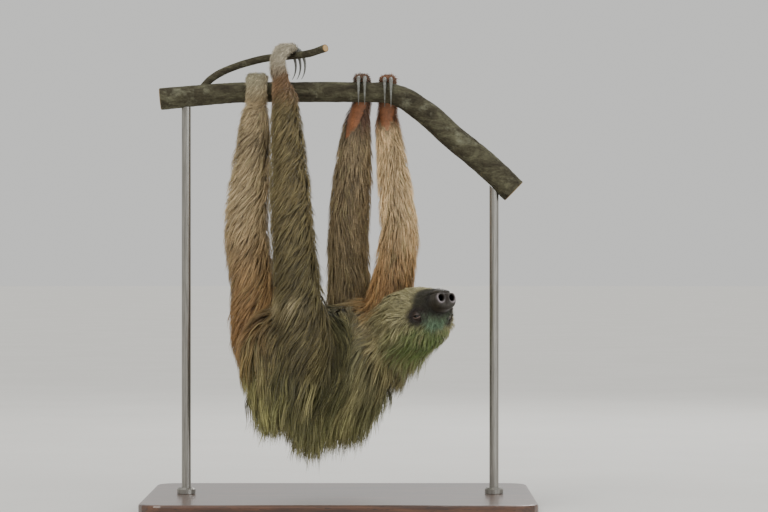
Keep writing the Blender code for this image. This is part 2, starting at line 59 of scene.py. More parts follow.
# The hook is the point of the perch that a limb closes round. Radii are the skin's, at the seat in the trunk,
# root, upper half, hinge, lower half and wrist. Swirl is how far the hair slants round the limb.
LIMBS = {
    "right_hind": dict(
        kind="hind", root=Vector((-0.101, -0.042, 0.222)), hinge=Vector((-0.1205, -0.039, 0.362)),
        wrist=Vector((-0.109, -0.028, 0.517)), hook=Vector((-0.108, 0.0, 0.544)),
        axis=Vector((-1.0, 0.0, 0.0)), hook_radius=0.0137, swirl=-0.95,
        radii=(0.020, 0.0300, 0.0230, 0.0216, 0.0200, 0.0136), palm_length=0.012, palm_turn=0.0),
    "left_hind": dict(
        kind="hind", root=Vector((-0.047, -0.101, 0.219)), hinge=Vector((-0.060, -0.083, 0.375)),
        wrist=Vector((-0.0710, -0.036, 0.536)), hook=TWIG_HOOK,
        axis=Vector((-0.77, 0.63, 0.0)).normalized(), hook_radius=0.0160, swirl=-0.90,
        radii=(0.020, 0.0300, 0.0230, 0.0210, 0.0184, 0.0130), palm_length=0.016, palm_turn=0.0),
    "right_fore": dict(
        kind="fore", root=Vector((0.013, 0.070, 0.2245)), hinge=Vector((0.010, 0.056, 0.357)),
        wrist=Vector((0.0220, 0.027, 0.509)), hook=Vector((0.028, 0.0, 0.544)),
        axis=Vector((1.0, 0.0, 0.0)), hook_radius=0.0137, swirl=0.15,
        radii=(0.020, 0.0280, 0.0214, 0.0205, 0.0200, 0.0136), palm_length=0.046, palm_turn=-0.75),
    "left_fore": dict(
        kind="fore", root=Vector((0.0585, 0.016, 0.227)), hinge=Vector((0.077, -0.006, 0.362)),
        wrist=Vector((0.0610, 0.027, 0.509)), hook=Vector((0.062, 0.0, 0.5420)),
        axis=Vector((1.0, 0.0, 0.0)), hook_radius=0.0143, swirl=0.10,
        radii=(0.020, 0.0280, 0.0205, 0.0180, 0.0154, 0.0118), palm_length=0.034, palm_turn=-0.25),
}
SEAT_DEPTH, SEAT_SHARE = 0.045, 0.4
CLAWS = {"hind": 3, "fore": 2}
CLAW_SPACING = 0.0080
CLAW_BASE_RADIUS, CLAW_TIP_RADIUS = 0.0034, 0.0009
CLAW_START, CLAW_END, CLAW_SPREAD = math.radians(80), math.radians(232), 0.004
CLAW_SIDES, CLAW_RINGS, CLAW_ROOT, CLAW_POINT, CLAW_TAPER = 16, 26, 0.10, 0.35, 1.35
CLAW_WIDTH, CLAW_OUTER, CLAW_INNER, CLAW_GROOVE = 0.86, 1.04, 0.90, 0.72
PAW_START, PAW_END = math.radians(-38), math.radians(88)

# ---- skin: what is left of the solids under the coat ----
PAW_HALF_WIDTH = {"hind": 0.0130, "fore": 0.0118}
PAW_DEPTH_START, PAW_DEPTH_END, PAW_TAPER, PAW_STEPS, PAW_RADIUS = 0.0072, 0.0046, 0.12, 6, 0.010
FINGER_START, FINGER_RADII = math.radians(38), (0.0054, 0.0062, 0.0056)
FINGER_OVERLAP, FINGER_ARCH, FINGER_POINTS = 0.24, 0.0012, 5
# Centre, half-width, reach above and reach below.
TRUNK_SIDE = Vector((0.72, -0.69, 0.0)).normalized()
TRUNK_SKIN = (
    (Vector((-0.1090, -0.1040, 0.210)), 0.009, 0.012, 0.022),
    (Vector((-0.1000, -0.0985, 0.213)), 0.025, 0.026, 0.052),
    (Vector((-0.0890, -0.0900, 0.218)), 0.036, 0.036, 0.072),
    (PELVIS, 0.047, 0.044, 0.080),
    (Vector((-0.0455, -0.0430, 0.205)), 0.051, 0.050, 0.082),
    (Vector((-0.0195, -0.0130, 0.200)), 0.052, 0.054, 0.080),
    (Vector((0.0080, 0.0150, 0.208)), 0.050, 0.052, 0.082),
    (SHOULDERS, 0.045, 0.044, 0.088),
    (Vector((0.0480, 0.0560, 0.233)), 0.034, 0.034, 0.070),
    (Vector((0.0560, 0.0640, 0.236)), 0.018, 0.022, 0.040),
)
NECK_SIDE = Vector((0.69, 0.72, 0.0)).normalized()
NECK_SKIN = (
    (Vector((0.0340, 0.046, 0.228)), 0.036, 0.032, 0.052),
    (Vector((0.0600, 0.024, 0.236)), 0.037, 0.030, 0.048),
    (Vector((0.0867, -0.004, 0.2450)), 0.036, 0.028, 0.044),
)
# How far behind the nose tip, centre height, half-width, reach above to the crown, reach below to the chin.
HEAD_SKIN = (
    (0.000, 0.0000, 0.0128, 0.0098, 0.0092),
    (0.005, 0.0000, 0.0155, 0.0130, 0.0126),
    (0.014, -0.0005, 0.0160, 0.0136, 0.0158),
    (0.026, 0.0000, 0.0178, 0.0150, 0.0184),
    (0.037, 0.0010, 0.0222, 0.0188, 0.0206),
    (0.048, 0.0020, 0.0272, 0.0240, 0.0236),
    (0.060, 0.0030, 0.0318, 0.0300, 0.0268),
    (0.076, 0.0030, 0.0350, 0.0350, 0.0288),
    (0.095, 0.0020, 0.0360, 0.0370, 0.0290),
    (0.115, 0.0000, 0.0335, 0.0340, 0.0275),
    (0.135, -0.0020, 0.0280, 0.0270, 0.0240),
)
EAR_BACK, EAR_OUT, EAR_UP, EAR_RADII = 0.084, 0.0350, 0.0120, (0.0090, 0.0050, 0.0110)
SKIN_VOXEL, SKIN_SMOOTHING, RING_SIDES = 0.0024, 7, 24
# Inside the box, given as reach back, out and up from the nose tip, the skin is refined once for each pair:
# up to so far behind the nose tip, and so near to an eye.
FACE_BOX = (0.075, 0.05, 0.05)
REFINED = ((0.070, 0.0), (0.036, 0.015), (0.007, 0.0105))

# ---- the face's finer forms ----
# A ridge is a place, a spread and a height; the mouth's groove is a spread and a depth.
EYE_BACK, EYE_OUT, EYE_UP, EYE_RADIUS = 0.0465, 0.0212, 0.0122, 0.0064
EYE_GAZE, EYE_SINK, EYE_HOLLOW, EYE_REACH = (-0.42, 0.82, 0.30), 0.0028, 0.0016, (0.013, 0.017)
SLIT_LENGTH, SLIT_HEIGHT, LID_THICKNESS, LID_BLEND = 0.0056, 0.0016, 0.0009, 0.0012
ORBIT, EYE_FOLDS, LID_EDGE = (0.0100, 0.0030, 0.0013), (0.0085, 0.0016, 0.00022), (1.25, 0.20, 0.0005)
EYE_FOLD_START, EYE_FOLD_TURNS, LID_OPENING, ORBIT_FLOOR = 0.0078, 3000, (0.86, 1.10), -0.006
IRIS_START, CORNEA_BULGE = 0.0035, 0.05
NOSTRIL_OUT, NOSTRIL_UP, NOSTRIL_RADIUS = 0.0074, -0.0022, 0.0046
NOSTRIL_DEPTH, NOSTRIL_LIP = 0.0085, (NOSTRIL_RADIUS * 1.28, 0.0011, 0.0010)
NOSTRIL_SQUEEZE, NOSTRIL_FLOOR, NOSTRIL_FRONT = (1.12, 0.92), 0.45, (0.003, 0.009)
SEPTUM_RIDGE, SEPTUM_BACK, SEPTUM_TOP = (0.0, 0.0011, 0.0009), 0.008, 0.006
MOUTH_BACK, MOUTH_GROOVE, LIPS = 0.034, (0.0009, 0.0017), (0.0024, 0.0016, 0.0006)
MOUTH_FADE, MOUTH_TOP = 0.005, -0.001
MOUTH_LINE = (0.0, 0.010, 0.024, MOUTH_BACK), (-0.0092, -0.0104, -0.0100, -0.0060)
SNOUT_FOLD_TURNS, SNOUT_FOLD_HEIGHT, SNOUT_FOLD_ENDS = (1500, 90), 0.00016, ((0.008, 0.014), (0.028, 0.036))

# ---- coat ----
QUICK_SHARE = 1.0
# Guides and tufts to grow, rings to a tuft and its root's width; how much the guides droop and wave; how far
# tufts close in on their guide and stray; the length at which a tuft has its root's full width; how much
# neighbouring guides differ in tone, and the share of blond ones.
COATS = {
    "trunk": dict(guides=3600, tufts=16500, rings=5, root_width=0.00060, droop=0.55, wave=0.42, closing=0.72,
                  stray=0.0016, usual_length=0.05, tone_spread=0.28, blond_share=0.16),
    "neck": dict(guides=900, tufts=3000, rings=5, root_width=0.00055, droop=0.45, wave=0.42, closing=0.66,
                 stray=0.0014, usual_length=0.045, tone_spread=0.24, blond_share=0.14),
    "head": dict(guides=4200, tufts=15000, rings=3, root_width=0.00036, droop=0.16, wave=0.30, closing=0.42,
                 stray=0.0007, usual_length=0.022, tone_spread=0.18, blond_share=0.10),
    "limb": dict(guides=3200, tufts=11000, rings=3, root_width=0.00043, droop=0.10, wave=0.16, closing=0.38,
                 stray=0.0009, usual_length=0.026, tone_spread=0.19, blond_share=0.10),
}
GUIDE_STEPS, WAVE_LENGTH, WAVE_BLOTCH, WAVE_DRIFT = 8, 0.065, 0.050, 2.4
LENGTH_RANGE, LEVEL_RANGE, LEVEL_CURVE = (0.86, 1.06), (0.10, 1.0), 0.6
ROOT_LIFT, WANDER, STEADINESS, LIFT_RATE, TIP_FALL = 0.55, 0.10, 0.45, 3.2, 0.25
ROOF, HANGING_NORMAL, HANGING_ROOM = 1.05, -0.25, 1.0
REACH_RANGE, CLOSING_CURVE = (0.72, 1.06), 1.1
LONER_SHARE, LONER_STRAY, OWN_TONE_SPREAD = 0.07, 2.6, 0.16
WIDTH_LIMITS, WIDTH_RANGE = (0.50, 1.25), (0.75, 1.25)
BLOND_LENGTH, TIP_RANGE, BRISTLE_RANGE = 0.012, (0.0, 0.45), (0.05, 2.0)
# A tuft's section as aside and rise in widths, how it narrows, and how its colour lightens from the root,
# whose darkening is painted shade deep in the coat.
TUFT_CORNERS, TUFT_TAPER = ((-1.0, -0.25), (1.0, -0.25), (0.0, 0.55)), 0.55
ROOT_SHADE, TIP_SHADE, SHADE_CURVE = 0.50, 1.12, 0.7
ROOT_DEPTH, PATCH, MAP_MARGIN, PIECE_TRIANGLES = 0.0006, 0.0014, 0.01, 195000
# How low the trunk's hair hangs, from rump to chest: places along X and the heights of its tips.
FRINGE = ((-0.112, -0.103, -0.089, -0.0715, -0.060, -0.0455, -0.0195, 0.008, 0.035, 0.050, 0.062),
          (0.160, 0.112, 0.100, 0.103, 0.098, 0.066, 0.066, 0.074, 0.084, 0.106, 0.160))
# Hair length and coat depth by the share along a limb, and by the distance behind the nose tip.
LIMB_HAIR = (0, 0.35, 0.6, 0.85, 1.0, 1.06, 1.15), (0.048, 0.038, 0.033, 0.026, 0.017, 0.011, 0.008)
HEAD_HAIR = ((0.018, 0.028, 0.036, 0.045, 0.058, 0.075, 0.095, 0.13),
             (0.0018, 0.0028, 0.0048, 0.0085, 0.017, 0.028, 0.038, 0.048))
NECK_HAIR, TRUNK_HAIR, BRISTLE_HAIR = 0.054, (0.022, 0.070), 0.0115
LIMB_DEPTH = ((0, 0.25, 0.5, 0.75, 1.0, 1.05, 1.2),
              (0.0145, 0.0125, 0.0115, 0.0105, 0.0070, 0.0046, 0.0028))
HEAD_DEPTH = ((0.0, 0.02, 0.03, 0.04, 0.05, 0.06, 0.076, 0.095, 0.13),
              (0.0, 0.0004, 0.0008, 0.0018, 0.0040, 0.0072, 0.0115, 0.0150, 0.0180))
# Coat depth above and how much more it is below; the bristles' depth is added to the head's.
NECK_DEPTH, TRUNK_DEPTH, BRISTLE_DEPTH = (0.014, 0.014), (0.0165, 0.030), 0.0022
DOWN = np.array((0.0, 0.0, -1.0))
MANE_PLACE, MANE_SPREAD, MANE_FLOW = (0.036, 0.215), (0.018, 0.044), np.array((-2.0, 0.0, 0.3))
BROW_PLACE, BROW_SPREAD, BROW_EDGE = (0.038, 0.0), (0.011, 0.019), (0.006, 0.012)

# ---- perch ----
BRANCH_PATH = (
    (-0.234, 0.0, 0.5350), (-0.160, 0.0, 0.5420), (-0.108, 0.0, 0.5440), (0.030, 0.0, 0.5440),
    (0.074, 0.0, 0.5400), (0.110, 0.0, 0.5180), (0.150, 0.0, 0.4830), (0.191, 0.0, 0.4490),
    (0.226, 0.0, 0.4150),
)
BRANCH_RADII = (0.0150, 0.0142, 0.0137, 0.0137, 0.0145, 0.0160, 0.0165, 0.0170, 0.0175)
TWIG_RADIUS = 0.0050
TWIG_PATH = (
    (-0.187, 0.002, 0.5400), (-0.168, 0.010, 0.5620), (-0.140, 0.020, 0.5775), (-0.100, 0.017, 0.5885),
    tuple(TWIG_HOOK + Vector((0.0, 0.0, 0.0106))), (-0.040, -0.026, 0.5925), (-0.018, -0.050, 0.5980),
)
# Lumps of the bark: strength, size, stretch along the branch, and which of the noises makes them.
BARK_LUMPS = ((0.5, 0.012, 0.4, 0), (0.3, 0.0045, 1.0, 1), (0.6, 0.03, 0.3, 2))
CUT_SHARES, CUT_ROUNDING, YEAR_TURNS = (0.0, 0.3, 0.6, 0.85, 0.96), 0.06, 9

FLESH = ["trunk", "neck", "head", "nose"] + [
    f"{side}_{part}" for side in ("left", "right")
    for part in ("ear", "upper_arm", "forearm", "hand", "thigh", "shank", "foot")
]


# ---- small helpers ----
def head_frame():
    forward = Vector((math.sin(HEAD_TURN) * math.cos(HEAD_LIFT),
                      -math.cos(HEAD_TURN) * math.cos(HEAD_LIFT), math.sin(HEAD_LIFT)))
    left = Vector((-math.cos(HEAD_TURN), -math.sin(HEAD_TURN), 0.0))
    return forward, left, forward.cross(left)


FORWARD, LEFT, UP = head_frame()
HEAD_AXES = np.array((-FORWARD, LEFT, UP))


def on_head(back, out, up):
    return NOSE - FORWARD * back + LEFT * out + UP * up


def in_head(points):
    """Rows of back, out and up for points in world space."""
    return (points - np.array(NOSE)) @ HEAD_AXES.T


def linear(red, green, blue):
    """A linear colour from display values of 0 to 255."""
    values = np.array((red, green, blue)) / 255.0
    return np.where(values <= 0.04045, values / 12.92, ((values + 0.055) / 1.055) ** 2.4)


def unit(vectors):
    return vectors / np.maximum(np.linalg.norm(vectors, axis=-1, keepdims=True), 1e-9)


def step_up(low, high, values):
    """0 at low, 1 at high, smooth between and even beyond."""
    t = np.clip((values - low) / (high - low), 0, 1)
    return t * t * (3 - 2 * t)


def bell(values, centre, spread, height=1.0):
    """The height at the centre, fading to 0 on both sides of it."""
    return height * np.exp(-((values - centre) / spread) ** 2)


def spot(first, second, centre, spread):
    """1 at the centre of an oval in two coordinates, fading to 0 all round it."""
    return np.exp(-((first - centre[0]) / spread[0]) ** 2 - ((second - centre[1]) / spread[1]) ** 2)


def make_ripples():
    waves = np.random.default_rng(5)
    return waves.normal(size=(3, 9, 3)), waves.uniform(0, math.tau, (3, 9))


RIPPLE_WAVES, RIPPLE_PHASES = make_ripples()


def ripple(points, size, kind=0):
    """Smooth noise of about -1 to 1 whose blotches are about this size."""
    turns = points @ RIPPLE_WAVES[kind].T * (2.2 / size) + RIPPLE_PHASES[kind]
    return np.sin(turns + 1.7 * np.sin(np.roll(turns, 1, axis=1))).sum(1) / 3.4


def smooth_curve(points, steps):
    """Values on a smooth curve through the points, which may be numbers or vectors."""
    first, last = points[0] * 2 - points[1], points[-1] * 2 - points[-2]
    padded = [first, *points, last]
    found = []
    for a, b, c, d in zip(padded, padded[1:], padded[2:], padded[3:]):
        for step in range(steps):
            t = step / steps
            found.append(0.5 * (b * 2 + (c - a) * t + (a * 2 - b * 5 + c * 4 - d) * t**2
                                + (b * 3 - a - c * 3 + d) * t**3))
    found.append(points[-1])
    return found


def add_object(name, data, slot=None, material=None, matrix=None):
    """A new object in the scene; with a slot, it is a piece of the model."""
    made = bpy.data.objects.new(name, data)
    bpy.context.scene.collection.objects.link(made)
    if material:
        data.materials.append(material)
    if matrix:
        made.matrix_world = matrix
    if slot:
        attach(made, "root")
    return made


def array_mesh(name, points, triangles):
    """A smooth mesh from arrays of points and triangles."""
    data = bpy.data.meshes.new(name)
    data.vertices.add(len(points))
    data.vertices.foreach_set("co", np.ascontiguousarray(points, np.float32).ravel())
    data.loops.add(len(triangles) * 3)
    data.loops.foreach_set("vertex_index", np.ascontiguousarray(triangles, np.int32).ravel())
    data.polygons.add(len(triangles))
    data.polygons.foreach_set("loop_start", np.arange(len(triangles), dtype=np.int32) * 3)
    data.update(calc_edges=True)
    data.shade_smooth()
    return data


def tube_faces(rings, sides):
    """Triangles between the rings of a tube."""
    faces = []
    for ring in range(rings - 1):
        for side in range(sides):
            a, b = ring * sides + side, ring * sides + (side + 1) % sides
            faces += [(a, b, b + sides), (a, b + sides, a + sides)]
    return faces


def write_mesh(bm, data):
    """Fills the mesh from bm, which is freed."""
    bm.to_mesh(data)
    bm.free()
    return data


def face_outward(data, merge=False):
    bm = bmesh.new()
    bm.from_mesh(data)
    if merge:
        bmesh.ops.remove_doubles(bm, verts=bm.verts, dist=1e-6)
    bmesh.ops.recalc_face_normals(bm, faces=bm.faces)
    return write_mesh(bm, data)


def read_points(data, values="co"):
    """Each point's place, or its normal."""
    found = np.empty(len(data.vertices) * 3, np.float32)
    data.vertices.foreach_get(values, found)
    return found.reshape(-1, 3).astype(float)


def paint(data, colours):
    """Stores linear colours on the mesh's points, in the layer that coat and skin show."""
    layer = data.attributes.new("fur", "FLOAT_COLOR", "POINT")
    full = np.ones((len(colours), 4), np.float32)
    full[:, :3] = colours
    layer.data.foreach_set("color", full.ravel())


def store(data, name, values):
    data.attributes.new(name, "FLOAT", "POINT").data.foreach_set("value", values.astype(np.float32))


# ---- skin ----
def add_loft(bm, sections):
    """A closed tube through rings of centre, across, rise and drop."""
    rings = []
    for centre, across, rise, drop in sections:
        ring = []
        for side in range(RING_SIDES):
            angle = math.tau * side / RING_SIDES
            reach = rise if math.sin(angle) > 0 else drop
            ring.append(bm.verts.new(centre + across * math.cos(angle) + reach * abs(math.sin(angle))))
        rings.append(ring)
    for ring, following in zip(rings, rings[1:]):
        for side in range(RING_SIDES):
            after = (side + 1) % RING_SIDES
            bm.faces.new((ring[side], ring[after], following[after], following[side]))
    bm.faces.new(reversed(rings[0]))
    bm.faces.new(rings[-1])


def round_sections(points, radii, steps=3):
    path, sizes = smooth_curve(points, steps), smooth_curve(radii, steps)
    sections = []
    across = Vector((1.0, 0.0, 0.0))
    for index, (centre, size) in enumerate(zip(path, sizes)):
        tangent = (path[min(index + 1, len(path) - 1)] - path[max(index - 1, 0)]).normalized()
        across = (across - tangent * across.dot(tangent)).normalized()
        rise = tangent.cross(across)
        sections.append((centre, across * size, rise * size, rise * -size))
    return sections


def hook_point(limb, angle, radius):
    """A point round the limb's hook: at angle 0 on the side that the limb comes up, at 90 degrees on top."""
    over = Vector((0.0, 0.0, 1.0))
    near = over.cross(limb["axis"]).normalized()
    return limb["hook"] + (near * math.cos(angle) + over * math.sin(angle)) * radius


def align(sections):
    """Turns each ring by quarters until its first point is beside the first point of the ring before."""
    aligned = [sections[0]]
    for centre, across, rise, drop in sections[1:]:
        before = aligned[-1][1].normalized()
        choices = ((across, rise, drop), (-across, drop, rise), (rise, -across, across),
                   (drop, across, -across))
        aligned.append((centre, *max(choices, key=lambda choice: choice[0].normalized().dot(before))))
    return aligned


def limb_line(limb):
    """The limb's middle line from its seat in the trunk to the wrist."""
    middle = PELVIS if limb["kind"] == "hind" else SHOULDERS
    return [
        limb["root"].lerp(middle, SEAT_SHARE) - Vector((0.0, 0.0, SEAT_DEPTH)),
        limb["root"], limb["root"].lerp(limb["hinge"], 0.5),
        limb["hinge"], limb["hinge"].lerp(limb["wrist"], 0.5), limb["wrist"],
    ]


def paw_line(limb):
    """Shares, depths and centres of the paw's sections over the perch."""
    for step in range(PAW_STEPS + 1):
        t = step / PAW_STEPS
        depth = PAW_DEPTH_START + (PAW_DEPTH_END - PAW_DEPTH_START) * t
        angle = PAW_START + (PAW_END - PAW_START) * t
        yield t, depth, hook_point(limb, angle, limb["hook_radius"] + depth + GAP)


def limb_sections(limb):
    sections = round_sections(limb_line(limb), limb["radii"])
    for t, depth, centre in paw_line(limb):
        outward = (centre - limb["hook"]).normalized()
        across = limb["axis"] * PAW_HALF_WIDTH[limb["kind"]] * (1.0 - PAW_TAPER * t)
        sections.append((centre, across, outward * depth, outward * -depth))
    return align(sections)


def claw_distance(limb):
    """How far the middle of a claw's root is from the perch's middle line."""
    return limb["hook_radius"] + CLAW_BASE_RADIUS + 2 * GAP


def claw_offset(limb, index):
    return limb["axis"] * CLAW_SPACING * (index - (CLAWS[limb["kind"]] - 1) / 2)


def add_fingers(bm, limb):
    """A short knuckle for each claw, on the paw's back."""
    last = FINGER_POINTS - 1
    for index in range(CLAWS[limb["kind"]]):
        points = []
        for step in range(FINGER_POINTS):
            angle = FINGER_START + (CLAW_START + FINGER_OVERLAP - FINGER_START) * step / last
            away = claw_distance(limb) + FINGER_ARCH * math.sin(math.pi * step / last)
            points.append(hook_point(limb, angle, away) + claw_offset(limb, index))
        radii = np.interp(np.linspace(0, 1, FINGER_POINTS), (0, 0.6, 1), FINGER_RADII).tolist()
        add_loft(bm, round_sections(points, radii, 2))


def skin_mesh():
    """Trunk, neck, head, ears, limbs and knuckles, fused into one skin that is finer on the face."""
    bm = bmesh.new()
    for rows, side in ((TRUNK_SKIN, TRUNK_SIDE), (NECK_SKIN, NECK_SIDE)):
        add_loft(bm, [(centre, side * width, Vector((0, 0, rise)), Vector((0, 0, -drop)))
                      for centre, width, rise, drop in rows])
    head_rows = list(zip(*[smooth_curve(column, 2) for column in zip(*HEAD_SKIN)]))
    add_loft(bm, [(on_head(back, 0.0, height), LEFT * width, UP * above, UP * -below)
                  for back, height, width, above, below in head_rows])
    for limb in LIMBS.values():
        add_loft(bm, limb_sections(limb))
        add_fingers(bm, limb)
    turn = Matrix((FORWARD, LEFT, UP)).transposed().to_4x4()
    for sign in (1, -1):
        bmesh.ops.create_uvsphere(
            bm, u_segments=16, v_segments=12, radius=1.0,
            matrix=Matrix.Translation(on_head(EAR_BACK, EAR_OUT * sign, EAR_UP)) @ turn
            @ Matrix.Diagonal((*EAR_RADII, 1.0)))
    bmesh.ops.recalc_face_normals(bm, faces=bm.faces)
    holder = add_object("skin_form", write_mesh(bm, bpy.data.meshes.new("skin_form")))
    fuse = holder.modifiers.new("fuse", "REMESH")
    fuse.mode, fuse.voxel_size = "VOXEL", SKIN_VOXEL
    soften = holder.modifiers.new("soften", "SMOOTH")
    soften.factor, soften.iterations = 0.5, SKIN_SMOOTHING
    bpy.context.view_layer.update()
    data = bpy.data.meshes.new_from_object(holder.evaluated_get(bpy.context.evaluated_depsgraph_get()))
    bpy.data.objects.remove(holder)
    bm = bmesh.new()
    bm.from_mesh(data)
    for back, round_eye in REFINED:
        refine(bm, back, round_eye)
    bmesh.ops.triangulate(bm, faces=bm.faces)
    return write_mesh(bm, data)


def refine(bm, reach, round_eye):
    """Halves and smooths faces of the skin up to this far behind the nose tip, or this near an eye."""
    chosen = []
    for face in bm.faces:
        centre = face.calc_center_median() - NOSE
        back, out, up = -centre.dot(FORWARD), abs(centre.dot(LEFT)), centre.dot(UP)
        on_face = back < FACE_BOX[0] and out < FACE_BOX[1] and abs(up) < FACE_BOX[2]
        if on_face and (back < reach or math.dist((back, out, up), (EYE_BACK, EYE_OUT, EYE_UP)) < round_eye):
            chosen.append(face)
    edges = list({edge: None for face in chosen for edge in face.edges})
    made = bmesh.ops.subdivide_edges(bm, edges=edges, cuts=1, use_grid_fill=True)
    fresh = [item for item in made["geom_inner"] if isinstance(item, bmesh.types.BMVert)]
    for _ in range(3):
        bmesh.ops.smooth_vert(bm, verts=fresh, factor=0.5, use_axis_x=True, use_axis_y=True, use_axis_z=True)


def eye_axes(sign):
    """An eye's centre, and the ways it looks, its slit runs and its lids open, as back, out and up."""
    centre = np.array((EYE_BACK, EYE_OUT * sign, EYE_UP))
    gaze = unit(np.array((EYE_GAZE[0], EYE_GAZE[1] * sign, EYE_GAZE[2])))
    along = unit(np.cross(gaze, (0.0, 0.0, 1.0)))
    return centre - gaze * EYE_SINK, gaze, along, np.cross(along, gaze)


def sculpt_eye(place, sign):
    """A hollow for the eyeball, two lids over it with a slit between them, and soft folds round them."""
    centre, gaze, along, across = eye_axes(sign)
    away = place - centre
    height = away @ gaze
    aside = np.linalg.norm(away - np.outer(height, gaze), axis=1)
    slit = np.hypot(away @ along / SLIT_LENGTH, away @ across / SLIT_HEIGHT)
    near = (height > ORBIT_FLOOR) * (1.0 - step_up(*EYE_REACH, aside))
    folds = EYE_FOLDS[2] * np.cos((aside - EYE_FOLD_START) * EYE_FOLD_TURNS) * bell(aside, *EYE_FOLDS[:2])
    lifted = height + bell(aside, *ORBIT) + folds
    dome = np.sqrt(np.clip((EYE_RADIUS + LID_THICKNESS) ** 2 - aside**2, 0, None))
    raised = np.clip(0.5 + 0.5 * (dome - lifted) / LID_BLEND, 0, 1)
    lid = lifted + (dome - lifted) * raised + LID_BLEND * raised * (1 - raised) * 0.5
    inside = np.sqrt(np.clip(EYE_RADIUS**2 - aside**2, 0, None)) - EYE_HOLLOW
    wanted = inside + (lid + bell(slit, *LID_EDGE) - inside) * step_up(*LID_OPENING, slit)
    wanted = np.where(aside < EYE_RADIUS, wanted, lid)
    return np.outer((wanted - height) * near, gaze)


def nostril_ring(head, sign):
    """Distance from a nostril's middle, across the snout."""
    aside, above = head[:, 1] - NOSTRIL_OUT * sign, head[:, 2] - NOSTRIL_UP
    return np.hypot(aside * NOSTRIL_SQUEEZE[0], above * NOSTRIL_SQUEEZE[1])


def sculpt(points, normals):
    """The face's finer forms: lids round the eyes, nostrils, mouth line, and folds on the muzzle."""
    place = in_head(points)
    turned = normals @ HEAD_AXES.T
    face = (place[:, 0] < FACE_BOX[0])[:, None]
    for sign in (1, -1):
        place += sculpt_eye(place, sign) * face
    back, out, up = place.T
    for sign in (1, -1):
        ring = nostril_ring(place, sign)
        front = 1.0 - step_up(*NOSTRIL_FRONT, back)
        pit = (1.0 - step_up(NOSTRIL_RADIUS * NOSTRIL_FLOOR, NOSTRIL_RADIUS, ring)) * front
        place[:, 0] += pit * NOSTRIL_DEPTH - bell(ring, *NOSTRIL_LIP) * front
    place[:, 0] += bell(out, *SEPTUM_RIDGE) * (back < SEPTUM_BACK) * (up < SEPTUM_TOP)
    line = np.interp(back, *MOUTH_LINE)
    fade = (1.0 - step_up(MOUTH_BACK - MOUTH_FADE, MOUTH_BACK, back)) * (up < MOUTH_TOP)
    mouth = bell(np.abs(up - line), *LIPS) - bell(up, line, *MOUTH_GROOVE)
    place += turned * (mouth * fade)[:, None]
    folds = np.sin(back * SNOUT_FOLD_TURNS[0] + out * SNOUT_FOLD_TURNS[1]) * SNOUT_FOLD_HEIGHT * (up > 0)
    start, end = SNOUT_FOLD_ENDS
    place += turned * (folds * step_up(*start, back) * (1 - step_up(*end, back)))[:, None]
    return np.array(NOSE) + place @ HEAD_AXES


# ---- where a point is on the body ----
def make_chains():
    """For each region the points and radii of its middle line, from the body outwards."""
    def middles(rows):
        return [centre - Vector((0, 0, (drop - rise) / 2)) for centre, _, rise, drop in rows]

    head = HEAD_SKIN[::-1]
    chains = {
        "trunk": (middles(TRUNK_SKIN),
                  [0.5 * width + 0.25 * (rise + drop) for _, width, rise, drop in TRUNK_SKIN]),
        "neck": (middles(NECK_SKIN), [width for _, width, _, _ in NECK_SKIN]),
        "head": ([on_head(row[0], 0, row[1]) for row in head], [row[2] for row in head]),
    }
    for name, limb in LIMBS.items():
        paw = [centre for _, _, centre in paw_line(limb)]
        chains[name] = (limb_line(limb)[1:] + paw, [*limb["radii"][1:], *[PAW_RADIUS] * len(paw)])
    return {name: (np.array(points), np.array(radii)) for name, (points, radii) in chains.items()}


CHAINS = make_chains()
REGIONS = list(CHAINS)
# Which point of a limb's middle line is the wrist, and how softly regions pass into each other.
WRIST_POINT, REGION_BLEND = 4, 0.007


def along_chain(points, name):
    """Distance to the region's middle line less its radius, share along it, tangent and direction out of it.

    On a limb the share is 1 at the wrist and more than 1 on the paw.
    """
    line, radii = CHAINS[name]
    spans = np.linalg.norm(np.diff(line, axis=0), axis=1)
    starts = np.concatenate(([0.0], np.cumsum(spans)))
    whole = starts[WRIST_POINT] if name in LIMBS else starts[-1]
    best = np.full(len(points), 1e9)
    share, radius = np.zeros(len(points)), np.zeros(len(points))
    tangent, outward = np.zeros_like(points), np.zeros_like(points)
    for index, span in enumerate(spans):
        step = (line[index + 1] - line[index]) / span
        t = np.clip((points - line[index]) @ step, 0, span)
        offset = points - line[index] - t[:, None] * step
        distance = np.linalg.norm(offset, axis=1)
        closer = distance < best
        best[closer] = distance[closer]
        share[closer] = (starts[index] + t[closer]) / whole
        radius[closer] = (radii[index] + (radii[index + 1] - radii[index]) * t[closer] / span)
        tangent[closer] = step
        outward[closer] = offset[closer]
    return best - radius, share, tangent, unit(outward)


def describe(points):
    """Where each point is: weight of each region, share along it, tangent and direction out."""
    gaps, shares, tangents, outwards = map(np.array, zip(*[along_chain(points, name) for name in REGIONS]))
    weights = np.exp(-(gaps - gaps.min(0)) / REGION_BLEND)
    weights /= weights.sum(0)
    return {"weights": weights, "main": np.argmax(weights, axis=0), "share": shares, "tangent": tangents,
            "outward": outwards}


def weight_of(place, name):
    return place["weights"][REGIONS.index(name)]


# ---- how the coat lies ----
REARWARD = unit(np.array(PELVIS - SHOULDERS))
# How strongly the hair of each region is drawn down, forward, outward and to the rear, and the height over the
# head's middle up to which the crown's hair is drawn down more and more.
LIMB_DROOP, HEAD_DROOP, CROWN_DROOP, CROWN_REACH = 0.25, 0.10, 2.8, 0.05
NECK_DROOP, NECK_FORWARD, TRUNK_SPREAD, TRUNK_REARWARD = 0.40, 1.2, 1.1, 0.30
